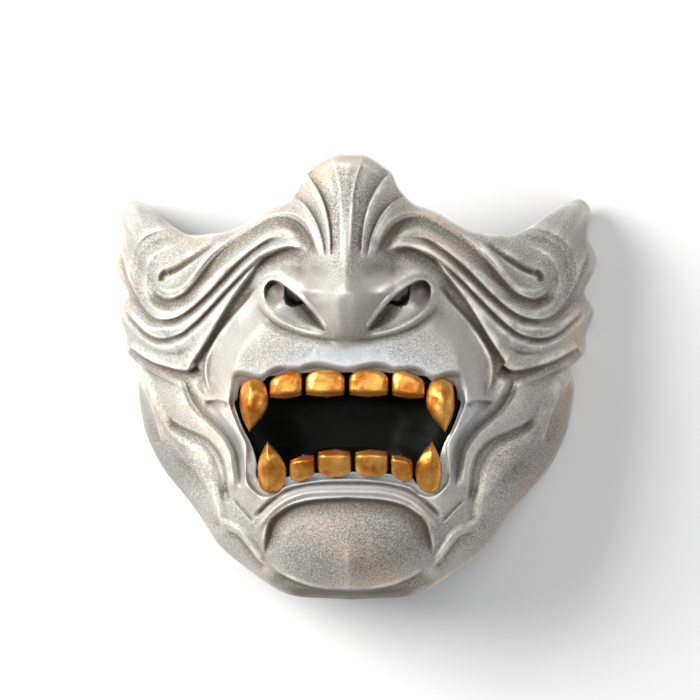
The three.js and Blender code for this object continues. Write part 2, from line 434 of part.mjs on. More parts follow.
// The deepest cut within a few survey points, smoothed, so that the inside passes below every groove.
function deepestNearby(depth) {
  const pass = (rows, reach, pick) => rows.map((row, i) => row.map((_, j) => {
    const near = [];
    for (let k = -reach; k <= reach; k++) {
      const a = rows[Math.min(ACROSS, Math.max(0, i + k))][j];
      const b = row[Math.min(OUTWARD, Math.max(0, j + k))];
      near.push(a, b);
    }
    return pick(near);
  }));
  const lowest = (values) => Math.min(...values);
  const average = (values) => values.reduce((sum, value) => sum + value, 0) / values.length;
  return pass(pass(pass(depth, 7, lowest), 7, average), 7, average);
}

function insideOf({ face, depth, spokes }) {
  const below = deepestNearby(depth);
  return spokes.map((line, i) => {
    const rimDrop = Math.min(TOP_RIM_DROP, line.height * 0.3);
    const height = line.height - rimDrop;
    const row = [];
    for (let j = 0; j <= OUTWARD; j++) {
      const t = j / OUTWARD;
      const x = mix(line.start[0], line.inner[0], t);
      const y = mix(line.start[1], line.inner[1], t);
      const behind = front(x, y) + 0.8 * nose(x, y) * ease((1 - t) / 0.12) - WALL * 1.15 + below[i][j];
      const general = height + (behind - height) * rollOff(t, line.roundness);
      const flat = mouthFront(x, y) - GUM_DEPTH - WALL;
      const wanted = mix(flat, general, ease((t - 0.14) / 0.1));
      row.push([x, y, Math.min(wanted, face[i][j][2] - THINNEST * rollOff(t, line.roundness))]);
    }
    return row;
  });
}

// Cover a survey grid with few triangles: start from two, and keep adding the point that lies farthest off.
// Where the edges are set, mouth edge and rim get no points but the first ones.
function coverWithTriangles(grid, budget, firstPoints, edgesAreSet) {
  const corners = [];
  const triangles = [];
  const twins = [];
  const farthest = [];
  const addPoint = (i, j) => corners.push([i, j]) - 1;
  const turn = (a, b, c) => (b[0] - a[0]) * (c[1] - a[1]) - (b[1] - a[1]) * (c[0] - a[0]);

  const cellPlace = ([i, j]) => [i * CELL_WIDTH, j];
  const truePlace = ([i, j]) => grid[i][j];
  function inCircle(ids, placeOf) {
    const [a, b, c, p] = ids.map((id) => placeOf(corners[id]));
    const [[dx, dy], [ex, ey], [fx, fy]] = [a, b, c].map((q) => [q[0] - p[0], q[1] - p[1]]);
    const [d, e, f] = [[dx, dy], [ex, ey], [fx, fy]].map(([u, v]) => u * u + v * v);
    return dx * (ey * f - e * fy) - dy * (ex * f - e * fx) + d * (ex * fy - ey * fx) < 0;
  }
  // How well shaped a triangle is: zero or less when it is folded over.
  function shapeOf(ids) {
    const [a, b, c] = ids.map((id) => corners[id]);
    const [pa, pb, pc] = [a, b, c].map(([i, j]) => grid[i][j]);
    const u = [0, 1, 2].map((k) => pb[k] - pa[k]);
    const v = [0, 1, 2].map((k) => pc[k] - pa[k]);
    const normal = [u[1] * v[2] - u[2] * v[1], u[2] * v[0] - u[0] * v[2], u[0] * v[1] - u[1] * v[0]];
    const size = Math.hypot(...normal);
    const longest = Math.max(Math.hypot(...u), Math.hypot(...v), Math.hypot(...u.map((value, k) => value - v[k])));
    const folded = turn(a, b, c) >= 0 || normal[2] > -0.01 * size;
    return { shape: folded ? -1 : size / longest ** 2, height: size / longest, folded, pa, normal, size };
  }
  function findFarthest(t) {
    const [a, b, c] = [0, 1, 2].map((k) => corners[triangles[3 * t + k]]);
    const [pa, pb, pc] = [a, b, c].map(([i, j]) => grid[i][j]);
    const u = [0, 1, 2].map((k) => pb[k] - pa[k]);
    const v = [0, 1, 2].map((k) => pc[k] - pa[k]);
    const normal = [u[1] * v[2] - u[2] * v[1], u[2] * v[0] - u[0] * v[2], u[0] * v[1] - u[1] * v[0]];
    const size = Math.hypot(...normal) || 1;
    let worst = 0;
    let place = null;
    const area = turn(a, b, c);
    for (let i = Math.min(a[0], b[0], c[0]); i <= Math.max(a[0], b[0], c[0]); i++) {
      for (let j = Math.min(a[1], b[1], c[1]); j <= Math.max(a[1], b[1], c[1]); j++) {
        const p = [i, j];
        const inside = [turn(a, b, p), turn(b, c, p), turn(c, a, p)].every((value) => value * area >= 0);
        if (!inside || (edgesAreSet && (j === 0 || j === OUTWARD))) continue;
        const q = grid[i][j];
        const off = Math.abs(normal[0] * (q[0] - pa[0]) + normal[1] * (q[1] - pa[1]) + normal[2] * (q[2] - pa[2]));
        const onCorner = [a, b, c].some((k) => k[0] === i && k[1] === j);
        if (off / size > worst && !onCorner) {
          worst = off / size;
          place = p;
        }
      }
    }
    farthest[t] = { worst, place };
  }
  function setTriangle(a, b, c, ab, bc, ca, at = triangles.length) {
    [a, b, c].forEach((corner, k) => (triangles[at + k] = corner));
    [ab, bc, ca].forEach((twin, k) => {
      twins[at + k] = twin;
      if (twin >= 0) twins[twin] = at + k;
    });
    farthest[at / 3] = null;
    return at;
  }
  const around = (edge) => [edge - (edge % 3) + ((edge + 1) % 3), edge - (edge % 3) + ((edge + 2) % 3)];
  function settle(edge, depth = 0) {
    const twin = twins[edge];
    if (twin < 0 || depth > 30) return;
    const [nextA, lastA] = around(edge);
    const [nextB, lastB] = around(twin);
    const tip = triangles[lastA];
    const right = triangles[edge];
    const left = triangles[nextA];
    const foot = triangles[lastB];
    const folded = (pair) => pair.some((ids) => shapeOf(ids).folded);
    if (folded([[right, left, tip], [left, right, foot]])) {
      if (!inCircle([tip, right, left, foot], cellPlace)) return;
    } else {
      if (!inCircle([tip, right, left, foot], truePlace) || folded([[tip, foot, left], [foot, tip, right]])) return;
    }
    const outer = [twins[nextA], twins[lastA], twins[lastB], twins[nextB]];
    const first = setTriangle(tip, foot, left, -1, outer[2], outer[0], edge - (edge % 3));
    const second = setTriangle(foot, tip, right, first, outer[1], outer[3], twin - (twin % 3));
    settle(first + 1, depth + 1);
    settle(second + 2, depth + 1);
  }
  function splitEdge(point, edge) {
    const [next, last] = around(edge);
    const tip = triangles[last];
    const right = triangles[edge];
    const left = triangles[next];
    const twin = twins[edge];
    const outer = [twins[next], twins[last]];
    const at = edge - (edge % 3);
    if (twin < 0) {
      const first = setTriangle(point, tip, right, -1, outer[1], -1, at);
      const second = setTriangle(tip, point, left, first, -1, outer[0]);
      settle(first + 1);
      settle(second + 2);
      return;
    }
    const [nextB, lastB] = around(twin);
    const foot = triangles[lastB];
    const far = [twins[lastB], twins[nextB]];
    const t0 = setTriangle(tip, right, point, outer[1], -1, -1, at);
    const t1 = setTriangle(right, foot, point, far[1], -1, t0 + 1, twin - (twin % 3));
    const t2 = setTriangle(foot, left, point, far[0], -1, t1 + 1);
    const t3 = setTriangle(left, tip, point, outer[0], t0 + 2, t2 + 1);
    [t0, t1, t2, t3].forEach((t) => settle(t));
  }
  function insert(t, [i, j]) {
    const ids = [0, 1, 2].map((k) => triangles[3 * t + k]);
    const point = addPoint(i, j);
    for (let k = 0; k < 3; k++) {
      if (turn(corners[ids[k]], corners[ids[(k + 1) % 3]], corners[point]) === 0) {
        splitEdge(point, 3 * t + k);
        return;
      }
    }
    const outer = [0, 1, 2].map((k) => twins[3 * t + k]);
    const t0 = setTriangle(ids[0], ids[1], point, outer[0], -1, -1, 3 * t);
    const t1 = setTriangle(ids[1], ids[2], point, outer[1], -1, t0 + 1);
    const t2 = setTriangle(ids[2], ids[0], point, outer[2], t0 + 2, t1 + 1);
    [t0, t1, t2].forEach((t) => settle(t));
  }
  function insertAnywhere(place) {
    for (let t = 0; t < triangles.length / 3; t++) {
      const [a, b, c] = [0, 1, 2].map((k) => corners[triangles[3 * t + k]]);
      if ([a, b, c].some((k) => k[0] === place[0] && k[1] === place[1])) return;
      const area = turn(a, b, c);
      if ([turn(a, b, place), turn(b, c, place), turn(c, a, place)].every((value) => value * area >= 0)) {
        insert(t, place);
        return;
      }
    }
  }

  // Sum of squared distances of the survey points from the triangle that covers them.
  function misfit(ids) {
    const { shape, height, folded, pa, normal, size } = shapeOf(ids);
    if (folded || height < THINNEST_FACET || shape < SHARPEST_FACET) return Infinity;
    const [a, b, c] = ids.map((id) => corners[id]);
    let sum = 0;
    for (let i = Math.min(a[0], b[0], c[0]); i <= Math.max(a[0], b[0], c[0]); i++) {
      for (let j = Math.min(a[1], b[1], c[1]); j <= Math.max(a[1], b[1], c[1]); j++) {
        const p = [i, j];
        if (turn(a, b, p) > 0 || turn(b, c, p) > 0 || turn(c, a, p) > 0) continue;
        const q = grid[i][j];
        const off = normal[0] * (q[0] - pa[0]) + normal[1] * (q[1] - pa[1]) + normal[2] * (q[2] - pa[2]);
        sum += (off / size) ** 2;
      }
    }
    return sum;
  }
  // Turn edges so that they run along the grooves and ridges where that fits the survey better.
  function alignEdges() {
    let turned = 0;
    for (let edge = 0; edge < triangles.length; edge++) {
      const twin = twins[edge];
      if (twin < edge) continue;
      const [nextA, lastA] = around(edge);
      const [nextB, lastB] = around(twin);
      const [tip, right, left, foot] = [triangles[lastA], triangles[edge], triangles[nextA], triangles[lastB]];
      const old = [[right, left, tip], [left, right, foot]];
      const fresh = [[tip, foot, left], [foot, tip, right]];
      if (fresh.some((ids) => shapeOf(ids).folded)) continue;
      const [before, after] = [old, fresh].map((pair) => Math.min(...pair.map((ids) => shapeOf(ids).shape)));
      const rescue = before < SHARPEST_FACET && after > before;
      const [now, then] = [old, fresh].map((pair) => misfit(pair[0]) + misfit(pair[1]));
      if (!rescue && !(then < now * 0.97)) continue;
      const outer = [twins[nextA], twins[lastA], twins[lastB], twins[nextB]];
      const first = setTriangle(tip, foot, left, -1, outer[2], outer[0], edge - (edge % 3));
      setTriangle(foot, tip, right, first, outer[1], outer[3], twin - (twin % 3));
      turned++;
    }
    return turned;
  }

  const wide = grid.length - 1;
  const tall = grid[0].length - 1;
  const [p0, p1, p2, p3] = [[0, 0], [wide, 0], [0, tall], [wide, tall]].map(([i, j]) => addPoint(i, j));
  const first = setTriangle(p3, p0, p2, -1, -1, -1);
  setTriangle(p0, p3, p1, first, -1, -1);
  firstPoints.forEach(insertAnywhere);
  let nextAlignment = budget * 0.4;
  while (triangles.length / 3 < budget) {
    if (triangles.length / 3 > nextAlignment) {
      alignEdges();
      nextAlignment += budget * 0.12;
    }
    let pick = -1;
    for (let t = 0; t < triangles.length / 3; t++) {
      if (!farthest[t]) findFarthest(t);
      if (farthest[t].place && (pick < 0 || farthest[t].worst > farthest[pick].worst)) pick = t;
    }
    if (pick < 0) break;
    insert(pick, farthest[pick].place);
  }
  for (let pass = 0; pass < 6 && alignEdges() > 0; pass++);
  return { corners, triangles };
}

// One closed body from the carved side, the plain inside and the two edges, mirrored over the middle.
function shellMesh() {
  const surveyed = survey();
  const inside = insideOf(surveyed);
  const coarse = [];
  for (let i = 0; i <= ACROSS; i += ACROSS / 20) {
    for (let j = 0; j <= OUTWARD; j += OUTWARD / 5) coarse.push([Math.round(i), Math.round(j)]);
  }
  for (let j = 0; j <= OUTWARD; j += OUTWARD / 38) {
    coarse.push([0, Math.round(j)]);
    coarse.push([ACROSS, Math.round(j)]);
  }
  const outer = coverWithTriangles(surveyed.face, FACE_BUDGET, coarse, false);
  const edges = outer.corners.filter(([, j]) => j === 0 || j === OUTWARD);
  const inner = coverWithTriangles(inside, BACK_BUDGET, edges, true);
  const vertices = [];
  const faces = [];
  const ids = new Map();
  const vertexOf = (layer, grid, [i, j], mirrored) => {
    const onSeam = i === 0 || i === ACROSS;
    const key = `${layer} ${i} ${j} ${mirrored && !onSeam}`;
    if (!ids.has(key)) {
      const [x, y, z] = grid[i][j];
      ids.set(key, vertices.push([onSeam ? 0 : mirrored ? -x : x, y, z]) - 1);
    }
    return ids.get(key);
  };
  const addFace = (a, b, c, flip) => faces.push(flip ? [a, c, b] : [a, b, c]);
  for (const mirrored of [false, true]) {
    for (const [layer, grid, cover] of [["face", surveyed.face, outer], ["inside", inside, inner]]) {
      for (let t = 0; t < cover.triangles.length; t += 3) {
        const abc = [0, 1, 2].map((k) => vertexOf(layer, grid, cover.corners[cover.triangles[t + k]], mirrored));
        addFace(...abc, mirrored !== (layer === "inside"));
      }
    }
    for (const j of [0, OUTWARD]) {
      const row = outer.corners.filter((corner) => corner[1] === j).sort((a, b) => a[0] - b[0]);
      for (let k = 0; k < row.length - 1; k++) {
        const [a, b] = [row[k], row[k + 1]].map((corner) => vertexOf("face", surveyed.face, corner, mirrored));
        const [c, d] = [row[k], row[k + 1]].map((corner) => vertexOf("inside", inside, corner, mirrored));
        const flip = (j === 0) !== mirrored;
        addFace(a, c, b, flip);
        addFace(b, c, d, flip);
      }
    }
  }
  return { vertices, faces };
}

// A closed body from rings of points, each joined to the next, with its two ends closed.
function ringsMesh(rings) {
  const count = rings[0].length;
  const vertices = rings.flat();
  const faces = [];
  for (let r = 0; r < rings.length - 1; r++) {
    for (let k = 0; k < count; k++) {
      const a = r * count + k;
      const b = r * count + ((k + 1) % count);
      faces.push([a, b, a + count], [b, b + count, a + count]);
    }
  }
  const close = (ring, start, flip) => {
    const middle = vertices.push([0, 1, 2].map((k) => ring.reduce((sum, p) => sum + p[k], 0) / count)) - 1;
    for (let k = 0; k < count; k++) {
      const a = start + k;
      const b = start + ((k + 1) % count);
      faces.push(flip ? [middle, b, a] : [middle, a, b]);
    }
  };
  close(rings[0], 0, true);
  close(rings.at(-1), (rings.length - 1) * count, false);
  return { vertices, faces };
}

function volumeOf({ vertices, faces }) {
  return faces.reduce((sum, [a, b, c]) => {
    const [p, q, r] = [a, b, c].map((k) => vertices[k]);
    return sum + (p[0] * (q[1] * r[2] - q[2] * r[1]) - p[1] * (q[0] * r[2] - q[2] * r[0])
      + p[2] * (q[0] * r[1] - q[1] * r[0])) / 6;
  }, 0);
}

const facingOut = (mesh) => (volumeOf(mesh) < 0
  ? { vertices: mesh.vertices, faces: mesh.faces.map(([a, b, c]) => [a, c, b]) }
  : mesh);

// A tooth stands on the gum: a flat back that follows the gum, and a crowned front.
function toothMesh({ root, bite, arch, tilt, slant, lean, belly, stand, form }, [from, to], side) {
  const middle = (from + to) / 2;
  const half = (to - from) / 2;
  const rings = form.map(([share, width, rise]) => {
    const centre = middle + lean * share - belly * Math.sin(Math.PI * share);
    const pointAcross = (across, height) => {
      const x = centre + half * width * across;
      const bow = arch * (1 - share) * Math.abs(across) ** ARCH_POWER - BITE_BOW * share * across ** 2;
      const y = mix(root, bite, share) - Math.sign(root - bite) * bow - (tilt + slant * (1 - share)) * across;
      return [side * x, y, mouthFront(x, y) - GUM_DEPTH + PIECE_GAP + height];
    };
    const ring = [];
    for (let k = 0; k < TOOTH_FACETS; k++) {
      const angle = Math.PI * (1 - k / (TOOTH_FACETS - 1));
      ring.push(pointAcross(Math.cos(angle), rise * stand * Math.abs(Math.sin(angle)) ** 0.55));
    }
    ring.push(pointAcross(0, 0));
    return ring;
  });
  return facingOut(ringsMesh(rings));
}

// The black lining: a dish behind the mouth, whose flat margin lies against the back of the lips.
function liningMesh() {
  const spots = 18;
  const shares = [1, 0.86, 0.66, 0.4, 0.16];
  const margin = [];
  for (let k = 0; k <= spots; k++) {
    const along = (k / spots) * mouth.lengths.at(-1);
    const [x, y] = pointAt(mouth, along);
    const [across, up] = [x / LINING_MIDDLE.widened, y - LINING_MIDDLE.y];
    const lap = LINING_LAP / Math.hypot(across, up);
    margin.push([k === 0 || k === spots ? 0 : x + across * lap, y + up * lap]);
  }
  const left = margin.slice(1, -1).reverse().map(([x, y]) => [-x, y]);
  const loop = [...margin, ...left];
  const ringAt = (share, lower) => loop.map(([x, y]) => {
    const px = x * share;
    const py = mix(LINING_MIDDLE.y, y, share);
    const dish = LINING_DISH * ease((0.88 - share) / 0.5);
    return [px, py, mouthFront(px, py) - GUM_DEPTH - WALL - LINING_GAP - dish - lower];
  });
  const rings = [...shares.map((share) => ringAt(share, 0)).reverse(), ...shares.map((share) =>
    ringAt(share, LINING_THICKNESS))];
  return facingOut(ringsMesh(rings));
}

// The nostril cutter: a straight slanting tube with an oval section.
function nostrilMesh(side) {
  const { x, y, z, long, short, turn, slope, sides } = NOSTRIL_HOLE;
  const ringAt = (height) => Array.from({ length: sides }, (_, k) => {
    const angle = (2 * Math.PI * k) / sides;
    const u = long * Math.cos(angle);
    const v = short * Math.sin(angle);
    const px = x + u * Math.cos(turn) - v * Math.sin(turn);
    return [side * px, y + u * Math.sin(turn) + v * Math.cos(turn) + (z - height) * slope, height];
  });
  return facingOut(ringsMesh([ringAt(z - 10), ringAt(z + 23)]));
}

function geometryOf({ vertices, faces }) {
  const geometry = new THREE.BufferGeometry();
  geometry.setAttribute("position", new THREE.Float32BufferAttribute(vertices.flat(), 3));
  geometry.setIndex(faces.flat());
  return geometry;
}

const wasm = await Module();
wasm.setup();
const solidOf = ({ vertices, faces }) => new wasm.Manifold(new wasm.Mesh({
  numProp: 3,
  vertProperties: Float32Array.from(vertices.flat()),
  triVerts: Uint32Array.from(faces.flat()),
}));

function withNostrils(mesh) {
  let solid = solidOf(mesh);
  for (const side of [1, -1]) solid = solid.subtract(solidOf(nostrilMesh(side)));
  const cut = solid.getMesh();
  const vertices = [];
  for (let k = 0; k < cut.vertProperties.length; k += cut.numProp) {
    vertices.push([0, 1, 2].map((axis) => cut.vertProperties[k + axis]));
  }
  const faces = [];
  for (let k = 0; k < cut.triVerts.length; k += 3) faces.push(Array.from(cut.triVerts.slice(k, k + 3)));
  return { vertices, faces };
}

function addPiece(group, name, geometry, material) {
  geometry.computeVertexNormals();
  const mesh = new THREE.Mesh(geometry, material);
  mesh.name = name;
  group.add(mesh);
}

const samuraiMask = new THREE.Group();
samuraiMask.name = "samurai_mask";
addPiece(samuraiMask, "mask", geometryOf(withNostrils(facingOut(shellMesh()))), silverPearl());
addPiece(samuraiMask, "mouth_lining", geometryOf(liningMesh()), blackGloss());
const teeth = new THREE.Group();
samuraiMask.add(teeth);
for (const [name, tooth] of Object.entries(TEETH)) {
  for (const [hand, side] of [["right", 1], ["left", -1]]) {
    addPiece(teeth, `${name}_${hand}`, geometryOf(toothMesh(tooth, tooth[hand], side)), goldPaint());
  }
}

export default samuraiMask;
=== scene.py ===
# %% [markdown]
# A fierce half mask in the samurai manner. It lies on its rim with the face up.
# The real one is a single stiff casting, sprayed pale silver, with gold teeth in front of a black mouth.
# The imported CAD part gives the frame: every length here is in millimetres until it becomes a mesh in
# metres, and each piece below is the fine version of one CAD node, worked out from the same sizes.

import bmesh
import bpy
import numpy as np
from mathutils import Matrix, Vector, kdtree


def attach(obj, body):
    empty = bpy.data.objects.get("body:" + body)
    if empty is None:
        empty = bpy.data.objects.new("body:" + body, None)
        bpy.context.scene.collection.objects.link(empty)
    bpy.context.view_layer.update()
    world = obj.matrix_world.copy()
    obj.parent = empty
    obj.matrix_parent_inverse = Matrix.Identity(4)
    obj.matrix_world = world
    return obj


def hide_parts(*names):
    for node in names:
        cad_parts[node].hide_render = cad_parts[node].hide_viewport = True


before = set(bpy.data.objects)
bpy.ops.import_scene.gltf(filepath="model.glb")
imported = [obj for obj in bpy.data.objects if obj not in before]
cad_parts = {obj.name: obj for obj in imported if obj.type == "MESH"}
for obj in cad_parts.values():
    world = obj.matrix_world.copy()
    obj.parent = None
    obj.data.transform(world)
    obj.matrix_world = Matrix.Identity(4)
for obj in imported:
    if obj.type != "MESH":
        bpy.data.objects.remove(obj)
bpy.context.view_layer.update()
MM = 0.001

# %% [markdown]
# The photograph looks straight at the face, a little from the right. The mask lies down, so the camera
# looks straight down on it. A long lens from far away keeps the raised nose from growing.

# %% Camera
CAMERA_AIM = Vector((-0.0012, 0.0114, 0.030))
CAMERA_DISTANCE = 2.60
CAMERA_RIGHT = 2.4  # degrees towards +X
CAMERA_DOWN = 0.5  # degrees towards the chin
FRAME_WIDTH = 0.280  # metres across the picture at the aim


def add_camera():
    data = bpy.data.cameras.new("photo_camera")
    data.lens = data.sensor_width * CAMERA_DISTANCE / FRAME_WIDTH
    camera = bpy.data.objects.new("photo_camera", data)
    bpy.context.scene.collection.objects.link(camera)
    right, down = np.radians([CAMERA_RIGHT, CAMERA_DOWN])
    toward = Vector((np.sin(right), -np.sin(down), np.cos(right) * np.cos(down))).normalized()
    side = Vector((0, 1, 0)).cross(toward).normalized()
    turn = Matrix((side, toward.cross(side), toward)).transposed()
    camera.location = CAMERA_AIM + toward * CAMERA_DISTANCE
    camera.rotation_euler = turn.to_euler()
    bpy.context.scene.camera = camera
    return camera


photo_camera = add_camera()
print("lens in mm:", round(photo_camera.data.lens, 1))

# %% [markdown]
# The mask is the same left and right, so its curves are given for the half where X is positive: the
# silhouette, the edge of the open mouth, the lips, the muzzle, the nostril and the heights of the nose.

# %% Curves of the half face
RIM_LINE = [[0, 87.9], [6.8, 87.4], [15.2, 82.2], [17.6, 79.4], [19, 76], [21.6, 72.2], [26, 68.4], [34,
    65.6], [42, 61], [48, 58.4], [56, 57.2], [64, 57], [70, 59.8], [76, 64.2], [82, 69], [90, 72.2],
    [94, 70], [94.8, 66], [93.4, 57.3], [96.2, 52], [97.2, 46.8], [95.5, 42], [92.2, 34.8], [95, 30],
    [96, 26.2], [93.1, 18], [93, 12], [89.8, 7.6], [86.5, 4.6], [87.6, 0], [88.2, -4], [86.9, -14],
    [84.2, -24], [78, -36], [69.6, -46], [61.4, -56], [53.4, -67.2], [40.4, -77.2], [34.6, -81.2],
    [28.4, -84.8], [20.6, -86.8], [10, -87.4], [0, -87.9]]
RIM_HEIGHTS = [[0, 87.9, 76], [17.6, 79.4, 74], [26, 68.4, 68], [42, 61, 61], [56, 57.2, 55], [66, 57.5,
    46], [76, 64.2, 30], [86, 70.9, 13], [92, 72, 6], [94.8, 66, 1], [94, 60, 0], [86, -18, 0], [78,
    -36, 0], [70, -46, 4], [61.4, -56, 12], [53.4, -67.2, 22], [40.4, -77.2, 33], [28.4, -84.8, 42],
    [20.6, -86.8, 45], [0, -87.9, 46]]
MOUTH_LINE = [[0, 2.2], [8, 1.8], [16, 2], [24, 1], [30.6, 0.6], [33, -1.2], [38, -2.4], [41.6, -2.8],
    [42.8, -5], [43.2, -8], [44.4, -9.8], [43, -15], [41, -20], [38.4, -24.8], [36.6, -29.6], [35.8,
    -34], [36, -38.5], [33.6, -42.2], [30, -42.6], [27, -41.4], [25, -39.2], [20, -38.2], [14, -37.4],
    [7, -36.9], [0, -36.7]]
FACING = [[[0, 87.9], [0, 2.2]], [[26, 68.4], [20, 1.4]], [[50, 58], [35, -1.8]], [[66, 57.5], [41,
    -2.7]], [[80, 67.4], [43, -6.5]], [[92, 72], [44, -9.4]], [[96.6, 46], [44.2, -11]], [[93, 18],
    [43.6, -13]], [[86.5, 4.6], [42.6, -16]], [[86, -16], [40, -22]], [[78, -36], [36.6, -29.6]], [[66,
    -50], [36, -38.5]], [[47.4, -72], [30, -42.6]], [[28.4, -84.8], [20, -38.2]], [[0, -87.9], [0,
    -36.7]]]
LIP_LINE = [[0, 4.6], [4, 5.2], [8, 6.1], [12, 6.5], [15.6, 5.9], [18.6, 4.8], [22, 4.9], [26, 5], [29.6,
    4], [33, 1.8], [35.6, 1.7], [39, 2.7], [43, 3], [45.6, 1.8], [46.8, -2], [46.4, -8], [45.8, -11], [41.6,
    -21], [39.4, -25.6], [39.4, -30], [40, -35.6], [39.2, -41.4], [34, -46.1], [28, -45.6], [24.4, -42.6],
    [16, -40.8], [8, -39.8], [0, -39.5]]
MUZZLE_LINE = [[40.6, -36], [43.6, -25], [50.2, -17], [55.6, -6], [56.8, 2], [56.2, 8], [52, 16], [46.5,
    23.4], [40, 30.6], [30, 39], [16, 45.5], [0, 48]]
NOSTRIL_LINE = [[33, 33], [32.6, 36], [30.6, 38.2], [27.4, 38.2], [24, 36.4], [19, 32.6], [15.4, 28.8],
    [12, 25], [8.4, 19.8], [8, 18.2], [12, 18.8], [16, 19.8], [21, 21.4], [26, 23.8], [30, 27.4], [32.4,
    30.6], [33, 33]]
NOSE_HEIGHT = [[12, 0], [15, 1.5], [17.5, 6], [20.5, 11], [24, 15.4], [28, 19], [32, 21.8], [34, 22.2],
    [39, 20.6], [46, 17.6], [54, 14], [62, 11], [72, 8.6], [92, 6]]
NOSE_WIDTH = [[12, 7], [16, 9], [20, 12], [24, 15], [30, 18.5], [34, 19], [40, 18.5], [46, 18], [54, 18],
    [72, 24], [92, 26]]
print("points in the silhouette:", len(RIM_LINE))

# %% [markdown]
# The carving is a list of strokes, as a carver would cut them. Each follows a path and has a height and a
# width on its left, a height and a width on its right, how much of it fades in and out, how sharp the
# change in its middle is, how straight its sides fall, and the path. A stroke with two equal heights is
# a ridge or a groove, and one with different heights is a step, such as the edge of a fold.

